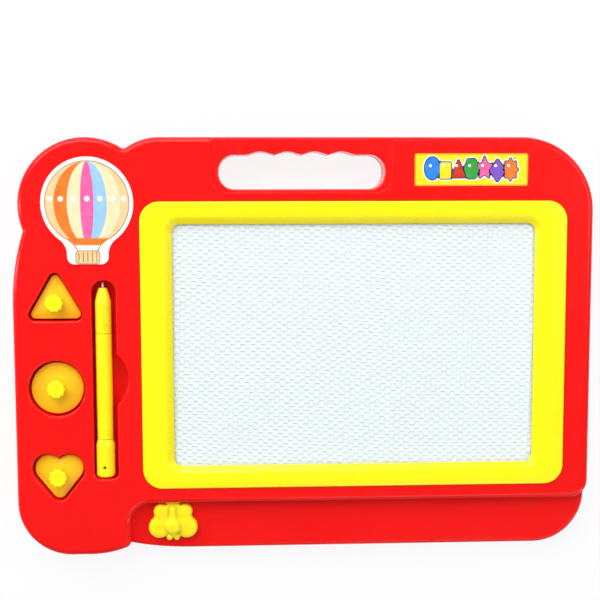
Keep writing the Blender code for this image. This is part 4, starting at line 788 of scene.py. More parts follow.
def quarter(radius, end=math.pi / 2, steps=None):
    """A rounded edge from its side up: how far in, and how far below the top, each step lies."""
    angles = [end * i / (steps or EDGE_STEPS) for i in range((steps or EDGE_STEPS) + 1)]
    return [(radius * (1 - math.cos(a)), radius * (1 - math.sin(a))) for a in angles]


def rounded_top(outline, low, high, radius):
    """Rings of a body with straight sides and a quarter-round upper edge."""
    rounds = [level(inset(outline, within), high - below) for within, below in quarter(radius)]
    return [level(outline, low), *rounds]


def screen_rectangle(width, height, radius):
    return rounded_rectangle(SCREEN_X, SCREEN_Y, width, height, radius)


def boss_places():
    """Where the screws stand: between the pockets, round the edge and beside the handle."""
    gap_y = (TRIANGLE_Y - TRIANGLE_HEIGHT / 3 + CIRCLE_Y + CIRCLE_RADIUS) / 2
    low_gap_y = (CIRCLE_Y - CIRCLE_RADIUS + HEART_Y + HEART_LOBE_RADIUS) / 2
    heart_tip = HEART_Y - HEART_TIP_DROP - HEART_TIP_RADIUS
    right_x = (RIGHT_EDGE + SCREEN_X + BEZEL_WIDTH / 2) / 2 - WALL / 2
    top_y = TOP_EDGE - HANDLE_TOP - HANDLE_OPENING / 2
    pen_foot_y = PEN_POCKET_TOP_Y - PEN_POCKET_LENGTH
    label_right = LEFT_EDGE + LABEL_LEFT + LABEL_WIDTH
    between_x = (HANDLE_CENTRE_X + HANDLE_WIDTH / 2 + LEFT_EDGE + LABEL_LEFT) / 2
    return [
        (STAMP_X, gap_y),
        (STAMP_X, low_gap_y),
        (STAMP_X, (heart_tip + FOOT_EDGE) / 2),
        (LEFT_EDGE + LOBE_INSET + LOBE_RADIUS, TOP_EDGE - LOBE_RADIUS / 2),
        (LEFT_EDGE + HANDLE_LEFT - HANDLE_OPENING, top_y),
        (between_x, top_y),
        (label_right + LABEL_HEIGHT, top_y - WALL),
        (right_x, SCREEN_Y),
        (right_x, LEDGE_WALL_Y + RAISED_CORNER_RADIUS),
        ((PEN_X + LEDGE_LEFT_X) / 2, (pen_foot_y + FOOT_EDGE) / 2),
    ]


def hook_places():
    """Each hook's middle, on the seat's wall, with the way out from the screen's centre."""
    half_x, half_y = SEAT_WIDTH / 2, SEAT_HEIGHT / 2
    places = []
    for i in range(LONG_SIDE_HOOKS):
        x = SCREEN_X + SEAT_WIDTH * ((i + 0.5) / LONG_SIDE_HOOKS - 0.5)
        places += [(x, SCREEN_Y + half_y, 0, 1), (x, SCREEN_Y - half_y, 0, -1)]
    for i in range(SHORT_SIDE_HOOKS):
        y = SCREEN_Y + SEAT_HEIGHT * ((i + 0.5) / SHORT_SIDE_HOOKS - 0.5)
        places += [(SCREEN_X + half_x, y, 1, 0), (SCREEN_X - half_x, y, -1, 0)]
    return places


def hook_rings(place, width, profile):
    """A profile of outward distance and height, swept along the bezel's side by width."""
    x, y, out_x, out_y = place
    return [
        [(x + out_x * out - out_y * shift, y + out_y * out + out_x * shift, z) for out, z in profile]
        for shift in (-width / 2, width / 2)
    ]


STAMPS = (
    ("triangle", triangle_outline, TRIANGLE_Y),
    ("circle", circle_outline, CIRCLE_Y),
    ("heart", heart_outline, HEART_Y - HEART_KNOB_DROP),
)


def moved(outline, x, y):
    return [p + Vector((x, y)) for p in outline]


def pocket_outlines(grow=0.0):
    """The three stamp pockets and the pen's trough, grown outwards by a wall if asked."""
    pockets = [moved(outline(POCKET_GAP + grow), STAMP_X, y) for _, outline, y in STAMPS]
    return [*pockets, inset(pen_pocket_outline(), -grow)]


def flange_window():
    """The opening in the shell behind the panel."""
    width = SEAT_WIDTH - 2 * FLANGE_WIDTH_ENDS
    height = SEAT_HEIGHT - 2 * FLANGE_WIDTH
    return screen_rectangle(width, height, WINDOW_RADIUS)


def cavity_cutter(name, outline, ceiling):
    """A hollow of the shell, less the walls of pockets, screen seat, handle and bosses."""
    low = SHELL_BOTTOM_Z - OVERRUN
    below, above = low - OVERRUN, FACE_Z + OVERRUN
    cavity = prism(name, outline, low, ceiling)
    seat = screen_rectangle(SEAT_WIDTH + 2 * WALL, SEAT_HEIGHT + 2 * WALL, SEAT_RADIUS + WALL)
    walls = [(pocket, POCKET_FLOOR_Z - WALL) for pocket in pocket_outlines(WALL)]
    walls += [(seat, FLANGE_BOTTOM_Z), (inset(handle_outline(), -WALL), below)]
    walls += [(circle(x, y, BOSS_RADIUS, BOSS_SIDES), below) for x, y in boss_places()]
    for number, (block, foot) in enumerate(walls):
        cut(cavity, prism(f"{name}_wall_{number}", block, foot, above))
    return cavity


def label_rectangle(grow=0.0):
    x = LEFT_EDGE + LABEL_LEFT + LABEL_WIDTH / 2
    y = TOP_EDGE - LABEL_TOP - LABEL_HEIGHT / 2
    return rounded_rectangle(x, y, LABEL_WIDTH + 2 * grow, LABEL_HEIGHT + 2 * grow, LABEL_RADIUS + grow)


def rail_places():
    reach = SEAT_HEIGHT / 2 - RAIL_INSET
    return [SCREEN_Y - reach, SCREEN_Y + reach]


def divided(outline, count):
    """The outline with its long straight sides in steps, and at least so many points in all."""
    longest = sum((p - outline[i - 1]).length for i, p in enumerate(outline)) / count
    points = []
    for i, point in enumerate(outline):
        before = outline[i - 1]
        steps = max(1, math.ceil((point - before).length / longest))
        points += [before.lerp(point, (k + 1) / steps) for k in range(steps)]
    return points


def towards(outline, share, radius):
    """Points a share of the way from the outline to a circle about the origin."""
    return [p.lerp(p.normalized() * radius, share) for p in outline]


def use_detail(detail):
    global ARC_STEP, LEAST_ARC_STEPS, EDGE_STEPS
    ARC_STEP, LEAST_ARC_STEPS, EDGE_STEPS = detail


# Materials

YELLOW_GLOW = (1.0, 0.45, 0.08)
EVEN_GLOW = (0.5, 0.5, 0.08)
RED_GLOW = (1.0, 0.06, 0.04)
GLOW_DEPTH = 0.005
# Distances from a stamp's knob over which its painted rim shade sets in
AMBER_RIM_SHADE_REACH = (0.009, 0.019)
PLASTIC_IOR = 1.42
PEEL_HEIGHT = 0.00012


class Look:
    """A node material being built: a Principled shader, object coordinates and small helpers."""

    def __init__(self, name):
        self.material = bpy.data.materials.new(name)
        self.material.use_nodes = True
        self.tree = self.material.node_tree
        self.shader = self.tree.nodes["Principled BSDF"]
        self.place = self.add("ShaderNodeTexCoord").outputs["Object"]

    def add(self, kind, **settings):
        node = self.tree.nodes.new(kind)
        for key, value in settings.items():
            setattr(node, key, value)
        return node

    def feed(self, socket, value):
        if isinstance(value, (int, float, tuple)):
            socket.default_value = value
        else:
            self.tree.links.new(value, socket)

    def set(self, **values):
        for key, value in values.items():
            self.feed(self.shader.inputs[key.replace("_", " ")], value)

    def noise(self, scale, detail=2.0, place=None, rough=0.5):
        node = self.add("ShaderNodeTexNoise")
        self.feed(node.inputs["Vector"], place or self.place)
        self.feed(node.inputs["Scale"], scale)
        self.feed(node.inputs["Detail"], detail)
        self.feed(node.inputs["Roughness"], rough)
        return node.outputs["Fac"]

    def stretched(self, x, y, z):
        node = self.add("ShaderNodeMapping")
        self.feed(node.inputs["Vector"], self.place)
        self.feed(node.inputs["Scale"], (x, y, z))
        return node.outputs["Vector"]

    def parts(self):
        """X, Y and Z of the object coordinates."""
        node = self.add("ShaderNodeSeparateXYZ")
        self.feed(node.inputs[0], self.place)
        return node.outputs

    def spread(self, value, low, high, to_low, to_high):
        node = self.add("ShaderNodeMapRange")
        for socket, given in zip(node.inputs, (value, low, high, to_low, to_high)):
            self.feed(socket, given)
        return node.outputs["Result"]

    def clouds(self, scale, detail, low=0.3, high=0.7, to_low=0.0, to_high=1.0):
        """Noise between two of its levels, spread to another range."""
        return self.spread(self.noise(scale, detail), low, high, to_low, to_high)

    def mix(self, share, first, second):
        node = self.add("ShaderNodeMix", data_type="RGBA")
        self.feed(node.inputs["Factor"], share)
        self.feed(node.inputs["A"], (*first, 1.0) if isinstance(first, tuple) else first)
        self.feed(node.inputs["B"], (*second, 1.0) if isinstance(second, tuple) else second)
        return node.outputs["Result"]

    def math(self, operation, first, second=0.0):
        node = self.add("ShaderNodeMath", operation=operation)
        self.feed(node.inputs[0], first)
        self.feed(node.inputs[1], second)
        return node.outputs["Value"]

    def bump(self, height, strength, distance):
        node = self.add("ShaderNodeBump")
        self.feed(node.inputs["Height"], height)
        self.feed(node.inputs["Strength"], strength)
        self.feed(node.inputs["Distance"], distance)
        self.feed(self.shader.inputs["Normal"], node.outputs["Normal"])


def plastic(name, colour, deep, gloss, subsurface=0.0, peel=0.10, cloud=14, glow=YELLOW_GLOW, shine=0.5):
    """Moulded plastic: faint flow clouds, uneven gloss, hairline scuffs and an orange-peel skin."""
    look = Look(name)
    look.colour = look.mix(look.clouds(cloud, 3.0, 0.35), colour, deep)
    look.set(Base_Color=look.colour)
    uneven = look.clouds(70, 4.0, to_low=gloss * 0.8, to_high=gloss * 1.25)
    scuffs = look.spread(look.noise(9, 6.0, look.stretched(4, 90, 30), 0.7), 0.66, 0.74, 0.0, 0.16)
    look.set(Roughness=look.math("ADD", uneven, scuffs))
    skin = look.math("ADD", look.noise(850, 2.0), look.math("MULTIPLY", look.noise(130, 2.0), 1.5))
    look.bump(skin, peel, PEEL_HEIGHT)
    look.shader.inputs["IOR"].default_value = PLASTIC_IOR
    look.shader.inputs["Specular IOR Level"].default_value = shine
    if subsurface:
        look.shader.inputs["Subsurface Weight"].default_value = subsurface
        look.shader.inputs["Subsurface Radius"].default_value = glow
        look.shader.inputs["Subsurface Scale"].default_value = GLOW_DEPTH
    return look


def amber_with_painted_rim_shade():
    """The stamps' plastic: clearer in the middle, with painted shade that deepens it towards the rim, by
    distance from the knob, for the pocket's shade and the red bounce from its walls.
    """
    look = plastic("amber_plastic_fine", (1.0, 0.62, 0.013), (1.0, 0.54, 0.011), 0.28, 0.35, cloud=70)
    x, y, _ = look.parts()
    away = look.math("SQRT", look.math("ADD", look.math("MULTIPLY", x, x), look.math("MULTIPLY", y, y)))
    share = look.spread(away, *AMBER_RIM_SHADE_REACH, 0.0, 1.0)
    # Painted shade: the rim is mixed towards a deeper orange, as the pocket shades it and its red walls
    # reflect onto it
    look.set(Base_Color=look.mix(share, look.colour, (0.95, 0.42, 0.009)))
    return look.material


def yellow_with_painted_slope_shade():
    """The bezel's plastic, with painted shade that deepens it down the slope to the screen."""
    look = plastic(
        "yellow_plastic_fine", (1.0, 0.88, 0.010), (1.0, 0.86, 0.009), 0.28, 0.25, glow=EVEN_GLOW, shine=0.35
    )
    # Painted shade: the lower down the slope towards the screen, the deeper the yellow, as the slope gets
    # less light than the band
    depth = look.spread(look.parts()[2], FACE_Z + BEZEL_PROUD - BEZEL_CROWN, PANEL_TOP_Z, 0.0, 1.0)
    look.set(Base_Color=look.mix(depth, look.colour, (1.0, 0.80, 0.016)))
    return look.material


def grainy(name, colour, deep, grain, gloss, skin):
    """Two shades in a grain, uneven gloss and a rough skin. grain holds the noise's scale, detail
    and levels, gloss its scale, detail and range, skin its scale, detail, strength and height."""
    look = Look(name)
    look.set(Base_Color=look.mix(look.clouds(*grain), colour, deep))
    look.set(Roughness=look.clouds(*gloss[:2], to_low=gloss[2], to_high=gloss[3]))
    look.bump(look.noise(*skin[:2]), *skin[2:])
    return look.material


def matte(name, colour, deep, rough, grain):
    """Magnet or film: speckle in the colour and a grain in the surface."""
    gloss = (grain / 4, 3.0, rough * 0.85, rough * 1.15)
    return grainy(name, colour, deep, (grain, 4.0, 0.35, 0.65), gloss, (grain, 3.0, 0.15, 0.0001))


def steel_look():
    """Turned steel: fine rings across the axis and a brushed gloss."""
    look = Look("turned_steel")
    lines = look.noise(60, 5.0, look.stretched(1, 1, 60))
    look.set(Base_Color=look.mix(lines, (0.80, 0.79, 0.78), (0.62, 0.61, 0.61)))
    look.set(Roughness=look.spread(lines, 0.3, 0.7, 0.28, 0.44))
    look.shader.inputs["Metallic"].default_value = 1.0
    look.bump(lines, 0.2, 0.00005)
    return look.material


def film_look():
    """The clear sheet over the cells: nearly invisible, with a soft sheen and light scuffs."""
    look = Look("clear_film_sheet")
    look.set(Base_Color=(0.93, 0.98, 0.98, 1.0))
    scuffs = look.spread(look.noise(14, 6.0, look.stretched(5, 70, 1), 0.7), 0.62, 0.75, 0.16, 0.34)
    look.set(Roughness=scuffs)
    look.shader.inputs["Alpha"].default_value = 0.06
    look.shader.inputs["IOR"].default_value = 1.49
    look.bump(look.noise(22, 2.0), 0.05, 0.0002)
    return look.material


CELL_GRAIN = ((30, 4.0, 0.35, 0.65), (200, 2.0, 0.45, 0.60), (500, 2.0, 0.1, 0.00005))
# The walls across the rows are much darker: partly their doubled thickness, partly painted shadow along them
CELL_COLOURS = (
    ("cell_milk", (0.82, 0.88, 0.885), (0.79, 0.86, 0.87)),
    ("cell_wall", (0.76, 0.83, 0.84), (0.72, 0.80, 0.81)),
    ("cell_level_wall", (0.40, 0.47, 0.49), (0.56, 0.63, 0.65)),
)
PRINT_GRAIN = ((260, 4.0), (90, 2.0, 0.238, 0.336), (400, 2.0, 0.05, 0.00005))
PLATE_GRAIN = ((40, 3.0), (90, 2.0, 0.22, 0.32), (400, 2.0, 0.05, 0.00005))


RED_LOOK = plastic(
    "red_plastic_fine", (0.96, 0.0100, 0.0090), (0.93, 0.0086, 0.0078), 0.18, 0.45, glow=RED_GLOW, shine=0.28
).material
BACK_LOOK = plastic(
    "red_plastic_back", (0.90, 0.0090, 0.0075), (0.84, 0.0070, 0.0060), 0.30, peel=0.25, shine=0.28
).material
YELLOW_LOOK = yellow_with_painted_slope_shade()
KNOB_LOOK = plastic(
    "yellow_knob_plastic", (1.0, 0.87, 0.010), (1.0, 0.81, 0.009), 0.26, 0.30, cloud=60, glow=EVEN_GLOW
).material
# A deeper, more amber copy of the stamp knobs' yellow: painted shade and red bounce, for the shaded ledge
# where the knob sits
BUTTERFLY_LOOK = plastic(
    "butterfly_plastic", (1.0, 0.82, 0.010), (1.0, 0.76, 0.009), 0.28, 0.50, cloud=60, glow=EVEN_GLOW
).material
PEN_LOOK = plastic(
    "yellow_pen_plastic", (1.0, 0.90, 0.010), (1.0, 0.85, 0.009), 0.24, 0.50, cloud=40, glow=EVEN_GLOW
).material
AMBER_LOOK = amber_with_painted_rim_shade()
MAGNET_LOOK = matte("rubber_magnet", (0.035, 0.033, 0.032), (0.06, 0.056, 0.054), 0.7, 900)
BACK_FILM_LOOK = matte("grey_back_film", (0.50, 0.52, 0.53), (0.44, 0.46, 0.47), 0.5, 300)
STEEL_LOOK = steel_look()
FILM_LOOK = film_look()


# Finishing of meshes


def polish(obj, looks, angle=38, weighted=True):
    """Applies the modifiers, cleans the mesh, shades it smooth up to an angle, gives it its looks."""
    mesh = bpy.data.meshes.new_from_object(obj.evaluated_get(bpy.context.evaluated_depsgraph_get()))
    obj.modifiers.clear()
    obj.data = mesh
    bm = bmesh.new()
    bm.from_mesh(mesh)
    bmesh.ops.dissolve_degenerate(bm, dist=2e-6, edges=bm.edges)
    bm.to_mesh(mesh)
    bm.free()
    mesh.materials.clear()
    for look in looks:
        mesh.materials.append(look)
    mesh.shade_smooth()
    mesh.set_sharp_from_angle(angle=math.radians(angle))
    if weighted:
        normals = obj.modifiers.new("face_weighted", "WEIGHTED_NORMAL")
        normals.keep_sharp = True
        normals.weight = 80


def drop_cutters():
    for obj in [o for o in bpy.data.objects if o.get("cutter")]:
        bpy.data.objects.remove(obj)


def mouth_rings(outline_at, top, mouth):
    """The upper rings of a cutter whose mouth flares in a quarter round; they run out straight
    past the face. outline_at gives the outline grown by an amount."""
    rings = [level(outline_at(out), top - below) for out, below in quarter(mouth, MOUTH_END)]
    rise = mouth * (1 - math.sin(MOUTH_END))
    grown = mouth * (1 - math.cos(MOUTH_END)) + 2 * rise / math.tan(math.pi / 2 - MOUTH_END)
    return [*rings, level(outline_at(grown), top + rise), level(outline_at(grown), top + OVERRUN)]


def hollow_rings(outline_at, floor, top, mouth, fillet):
    """A pocket cutter whose floor has a fillet and whose mouth flares."""
    fillets = [level(outline_at(-narrow), floor + rise) for rise, narrow in quarter(fillet)]
    return fillets + mouth_rings(outline_at, top, mouth)


def recess_rings(outline, floor):
    """The cutter of a recess in the face, with a sharp floor and a small flare."""
    return [level(outline, floor), *mouth_rings(grower(outline), FACE_Z, RECESS_MOUTH_RADIUS)]


def grower(outline):
    return lambda grow: inset(outline, -grow)


def resampled(outline, count):
    """The same closed outline as so many points at equal distances, from its first point on."""
    ends = outline[1:] + outline[:1]
    lengths = [(b - a).length for a, b in zip(outline, ends)]
    step = sum(lengths) / count
    points, done, k = [], 0.0, 0
    for i in range(count):
        while done + lengths[k] < i * step and k < len(lengths) - 1:
            done += lengths[k]
            k += 1
        points.append(outline[k].lerp(ends[k], (i * step - done) / lengths[k]))
    return points


def stamp_grower(outline, y):
    return lambda grow: moved(resampled(outline(POCKET_GAP + grow), POCKET_POINTS), STAMP_X, y)


def cut_rings(obj, name, rings):
    cut(obj, lofted(name, rings))


# The case


def shell_piece():
    """The front shell, with rounded edges and mouths, and hollow behind as the moulding is."""
    shell = lofted("shell_red", rounded_top(raised_outline(), SHELL_BOTTOM_Z, FACE_Z, FACE_EDGE_RADIUS))
    ledge = inset(board_outline(), LEDGE_STEP)
    join(shell, lofted("ledge_fine", rounded_top(ledge, SHELL_BOTTOM_Z, LEDGE_Z, LEDGE_EDGE_RADIUS)))
    use_detail(COARSE)
    cut(shell, cavity_cutter("cavity", inset(raised_outline(), WALL), FACE_Z - WALL))
    under_ledge = inset(board_outline(), WALL + LEDGE_STEP)
    cut(shell, cavity_cutter("ledge_cavity", under_ledge, LEDGE_Z - WALL))
    use_detail(FINE)
    pockets = {f"pocket_{i}": stamp_grower(outline, y) for i, (_, outline, y) in enumerate(STAMPS)}
    pockets["pocket_pen"] = grower(pen_pocket_outline())
    for name, outline_at in pockets.items():
        cut_rings(shell, name, hollow_rings(outline_at, POCKET_FLOOR_Z, FACE_Z, MOUTH_RADIUS, FLOOR_FILLET))
    seat = screen_rectangle(SEAT_WIDTH, SEAT_HEIGHT, SEAT_RADIUS)
    rebate = screen_rectangle(
        BEZEL_WIDTH + 2 * CLEARANCE, BEZEL_HEIGHT + 2 * CLEARANCE, BEZEL_RADIUS + CLEARANCE
    )
    window = flange_window()
    steps = [(window, FLANGE_BOTTOM_Z - OVERRUN), (window, FLANGE_TOP_Z), (seat, FLANGE_TOP_Z)]
    steps.append((seat, REBATE_Z))
    rings = [level(outline, z) for outline, z in steps]
    cut_rings(shell, "seat_fine", rings + recess_rings(rebate, REBATE_Z))
    cut_rings(shell, "label_fine", recess_rings(label_rectangle(LABEL_GAP), FACE_Z - LABEL_RECESS))
    handle_top = FACE_Z - HANDLE_RECESS
    low_y = HANDLE_TOP_Y - HANDLE_OPENING - HANDLE_RECESS_BELOW
    high_y = TOP_EDGE + 2 * HANDLE_RECESS_RADIUS
    width, height = HANDLE_WIDTH + 2 * HANDLE_RECESS_SIDE, high_y - low_y
    recess = rounded_rectangle(HANDLE_CENTRE_X, (low_y + high_y) / 2, width, height, HANDLE_RECESS_RADIUS)
    rings = hollow_rings(grower(recess), handle_top, FACE_Z, RECESS_MOUTH_RADIUS, RECESS_MOUTH_RADIUS / 2)
    cut_rings(shell, "recess_fine", rings)
    grip = handle_outline()
    rings = [level(grip, SHELL_BOTTOM_Z - OVERRUN)]
    rings += mouth_rings(grower(grip), handle_top, HANDLE_MOUTH_RADIUS)
    cut_rings(shell, "grip_fine", rings)
    pilot = [(PILOT_RADIUS, SHELL_BOTTOM_Z - OVERRUN), (PILOT_RADIUS, SHELL_BOTTOM_Z + PILOT_DEPTH)]
    for i, (x, y) in enumerate(boss_places()):
        cut_rings(shell, f"pilot_{i}", turned(x, y, pilot, PILOT_SIDES))
    half = ARM_WIDTH / 2 + CLEARANCE
    slot_y = LEDGE_WALL_Y + WALL / 2
    slot = (ERASER_X - half, ERASER_X + ERASER_TRAVEL + half, slot_y - WALL, slot_y + WALL)
    cut_rings(shell, "slot_fine", box_rings(*slot, ARM_BOTTOM_Z - CLEARANCE, ARM_TOP_Z + CLEARANCE))
    polish(shell, [RED_LOOK])
    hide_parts("front_shell")
    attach(shell, "case")


def cover_piece():
    """The back tray, with rounded edge, cups, rails, and a rounded collar round the grip."""
    outline = board_outline()
    rings = [level(inset(outline, narrow), rise) for rise, narrow in quarter(BACK_EDGE_RADIUS)]
    rings.append(level(outline, PARTING_Z))
    rings += [level(inset(outline, WALL), z) for z in (PARTING_Z, WALL)]
    cover = lofted("cover_red", rings)
    base = WALL / 2
    fittings = bmesh.new()
    for x, y in boss_places():
        add_rings(fittings, turned(x, y, [(CUP_RADIUS, base), (CUP_RADIUS, CUP_TOP_Z)], BORE_SIDES))
    grip = handle_outline()
    wall = inset(grip, -WALL)
    add_rings(fittings, [level(wall, base), level(wall, CUP_TOP_Z)])
    start = ERASER_X - CARRIAGE_WIDTH / 2 - RAIL_OVERRUN
    end = ERASER_X + ERASER_TRAVEL + CARRIAGE_WIDTH / 2 + RAIL_OVERRUN
    for y in rail_places():
        add_rings(fittings, box_rings(start, end, y - RAIL_WIDTH / 2, y + RAIL_WIDTH / 2, base, RAIL_TOP_Z))
    join(cover, add_object("fittings_fine", fittings))
    mouth = mouth_rings(grower(grip), 0.0, HANDLE_MOUTH_RADIUS)
    upside = [[(x, y, -z) for x, y, z in ring] for ring in reversed(mouth)]
    cut_rings(cover, "collar_fine", [*upside, level(grip, CUP_TOP_Z + OVERRUN)])
    holes = bmesh.new()
    flare, cup_floor_z = CUP_BORE + 2 * CLEARANCE, CUP_TOP_Z - CUP_FLOOR
    bore = [(flare, -OVERRUN), (flare, -CLEARANCE), (CUP_BORE, CLEARANCE), (CUP_BORE, cup_floor_z)]
    bore += [(SCREW_HOLE_RADIUS, cup_floor_z), (SCREW_HOLE_RADIUS, CUP_TOP_Z + OVERRUN)]
    for x, y in boss_places():
        add_rings(holes, turned(x, y, bore, BORE_SIDES))
    cut(cover, add_object("cups_fine", holes))
    polish(cover, [BACK_LOOK])
    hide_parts("back_cover")
    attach(cover, "case")


def bezel_ring(moved_in, z):
    width, height = BEZEL_WIDTH - 2 * moved_in, BEZEL_HEIGHT - 2 * moved_in
    return level(screen_rectangle(width, height, BEZEL_RADIUS - moved_in), z)


def window_ring(grow, z):
    width, height = WINDOW_WIDTH + 2 * grow, WINDOW_HEIGHT + 2 * grow
    return level(screen_rectangle(width, height, WINDOW_RADIUS + grow), z)


def blend_rings(outer, inner, heights):
    """Rings on the way from one ring to another, each with its own height."""
    rings = []
    for i, z in enumerate(heights, 1):
        share = i / (len(heights) + 1)
        pairs = zip(outer, inner)
        rings.append([(a[0] + (b[0] - a[0]) * share, a[1] + (b[1] - a[1]) * share, z) for a, b in pairs])
    return rings


def bezel_piece():
    """Crowned band, rounded shoulder, slope and lip; hollow below, as the real moulding."""
    top = FACE_Z + BEZEL_PROUD
    band = top - BEZEL_CROWN
    flange = REBATE_Z + CLEARANCE
    foot = PANEL_TOP_Z + CLEARANCE
    lip = foot + BEZEL_LIP_HEIGHT
    slope = BEZEL_SLOPE_WIDTH
    rings = [bezel_ring(0.0, flange)]
    for within, below in quarter(BEZEL_EDGE_RADIUS, math.pi / 2 * BEZEL_ROUND_SHARE):
        rings.append(bezel_ring(within, band - below))
    steps = [math.sin(math.pi * i / BEZEL_CROWN_STEPS) for i in range(1, BEZEL_CROWN_STEPS)]
    crown = [band + BEZEL_CROWN * step for step in steps]
    rings += blend_rings(rings[-1], window_ring(slope, band), crown)
    rings += [window_ring(slope * left, band - (band - lip) * done) for left, done in SLOPE_PROFILE]
    rings += [window_ring(0.0, lip), window_ring(0.0, foot), window_ring(BEZEL_LIP_WIDTH, foot)]
    rings.append(window_ring(BEZEL_LIP_WIDTH, lip))
    under = band - BEZEL_SKIN
    rings.append(window_ring(slope + BEZEL_SKIN / 2, under))
    seat = BEZEL_FLANGE + CLEARANCE
    rings += [bezel_ring(seat + BEZEL_SKIRT, under), bezel_ring(seat + BEZEL_SKIRT, foot)]
    rings += [bezel_ring(seat, foot), bezel_ring(seat, flange)]
    bezel = lofted("bezel_yellow", rings, loop=True)
    hooks = bmesh.new()
    back, face = ADHESIVE - CLEARANCE - BEZEL_SKIRT, -ADHESIVE - CLEARANCE
    tip, catch = face + HOOK_BARB, HOOK_LOW_Z + 2 * HOOK_BARB_HEIGHT
    profile = [(back, HOOK_LOW_Z), (face, HOOK_LOW_Z), (tip, HOOK_LOW_Z + HOOK_BARB_HEIGHT), (tip, catch)]
    profile += [(face, catch), (face, foot + HOOK_ROOT), (back, foot + HOOK_ROOT)]
    for place in hook_places():
        add_rings(hooks, hook_rings(place, HOOK_WIDTH, profile))
    join(bezel, add_object("hooks_fine", hooks))
    polish(bezel, [YELLOW_LOOK])
    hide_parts("screen_bezel")
    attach(bezel, "case")


# The screen


def honeycomb_piece():
    """Milky cells between low walls. The cells are a little taller than wide, as drawn honeycomb is. The
    walls across the rows get a much darker look: partly their doubled thickness, partly painted shadow.
    """
    width, height = SEAT_WIDTH - 2 * PANEL_MARGIN, SEAT_HEIGHT - 2 * PANEL_MARGIN
    reach_x, reach_y = WINDOW_WIDTH / 2 + COLUMN_PITCH, WINDOW_HEIGHT / 2 + CELL_PITCH
    tip, flat = COLUMN_PITCH * CELL_SHARE, COLUMN_PITCH * (1 - CELL_SHARE)
    half = CELL_PITCH / 2
    hexagon = [(tip, 0.0), (flat, half), (-flat, half), (-tip, 0.0), (-flat, -half), (flat, -half)]
    shrink_x, shrink_y = 1 - CELL_WALL / (2 * tip) * SLANT_WALL_SHARE, 1 - CELL_WALL / (2 * half)
    turn = (math.cos(CELL_TILT), math.sin(CELL_TILT))
    bm = bmesh.new()

    def vertex(x, y, z):
        sway = noise.noise(Vector((x * CELL_SWAY_RATE, y * CELL_SWAY_RATE, 3.0))) * CELL_SWAY
        lift = noise.noise(Vector((x * CELL_LIFT_RATES[0], y * CELL_LIFT_RATES[1], 9.0))) * CELL_LIFT
        rx, ry = x * turn[0] - y * turn[1] + sway, x * turn[1] + y * turn[0] + lift
        return bm.verts.new((SCREEN_X + rx, SCREEN_Y + ry, z))

    columns, rows = math.ceil(reach_x / COLUMN_PITCH) + 2, math.ceil(reach_y / CELL_PITCH) + 3
    top, low = CORE_TOP_Z, CORE_TOP_Z - CELL_DROP
    for i in range(-columns, columns + 1):
        for j in range(-rows, rows + 1):
            cx, cy = i * COLUMN_PITCH, j * CELL_PITCH + (half if i % 2 else 0.0)
            px, py = cx * turn[0] - cy * turn[1], cx * turn[1] + cy * turn[0]
            if abs(px) > reach_x or abs(py) > reach_y:
                continue
            outer = [vertex(cx + x, cy + y, top) for x, y in hexagon]
            inner = [vertex(cx + x * shrink_x, cy + y * shrink_y, top) for x, y in hexagon]
            floor = [vertex(cx + x * shrink_x, cy + y * shrink_y, low) for x, y in hexagon]
            for k in range(6):
                n = (k + 1) % 6
                # Walls across the rows take the dark look: doubled walls and painted shadow
                level_wall = 2 if k in (1, 4) else 1
                bm.faces.new((outer[k], outer[n], inner[n], inner[k])).material_index = level_wall
                bm.faces.new((inner[k], inner[n], floor[n], floor[k])).material_index = level_wall
            bm.faces.new(floor).material_index = 0
    bmesh.ops.remove_doubles(bm, verts=bm.verts, dist=CELL_MERGE)
    bottom = CORE_TOP_Z - CORE_THICKNESS
    rim_edges = [e for e in bm.edges if e.is_boundary]
    below = {v: bm.verts.new((v.co.x, v.co.y, bottom)) for e in rim_edges for v in e.verts}
    for first, second in [e.verts for e in rim_edges]:
        bm.faces.new((second, first, below[first], below[second]))
    bmesh.ops.holes_fill(bm, edges=[e for e in bm.edges if e.is_boundary], sides=0)
    cells = add_object("honeycomb_cells", bm)
    for look, colour, deep in CELL_COLOURS:
        cells.data.materials.append(grainy(look, colour, deep, *CELL_GRAIN))
    rim = screen_rectangle(width, height, SEAT_RADIUS - PANEL_MARGIN)
    border = prism("honeycomb_border", rim, bottom, low - ADHESIVE)
    polish(border, [grainy("cell_rim", (0.86, 0.95, 0.95), (0.80, 0.90, 0.91), *CELL_GRAIN)])
    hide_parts("honeycomb_core")
    for piece in (cells, border):
        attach(piece, "case")


# Stamps


def stamp_pieces(name, outline, y):
    """A stamp's domed body, hollow below, and its knob."""
    shape = divided(outline(), STAMP_POINTS)
    inner = inset(shape, STAMP_RIM)
    ceiling = STAMP_TOP_Z - STAMP_SKIN
    rings = rounded_top(shape, STAMP_BOTTOM_Z, STAMP_TOP_Z, STAMP_EDGE_RADIUS)
    rim = inset(shape, STAMP_EDGE_RADIUS + STAMP_SHOULDER)
    rings.append(level(rim, STAMP_TOP_Z))
    for share in [i / DOME_STEPS for i in range(1, DOME_STEPS + 1)]:
        rise = STAMP_DOME * math.sin(share * math.pi / 2) ** DOME_POWER
        rings.append(level(towards(rim, share, COLLAR_RADIUS), STAMP_TOP_Z + rise))
    rings += [level(towards(rim, 1.0, PEG_RADIUS + CLEARANCE), z) for z in (COLLAR_Z, ceiling)]
    rings += [level(inner, ceiling), level(inner, STAMP_BOTTOM_Z)]
    base = lofted(f"{name}_body_amber", rings, loop=True)
    base.location = (STAMP_X, y, 0)
    polish(base, [AMBER_LOOK], 50, False)
    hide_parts(f"{name}_stamp_base")
    knob = lofted(f"{name}_knob_yellow", knob_rings_fine())
    knob.location = (STAMP_X, y, 0)
    polish(knob, [KNOB_LOOK], 50, False)
    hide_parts(f"{name}_stamp_knob")
    for piece in (base, knob):
        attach(piece, f"{name}_stamp")


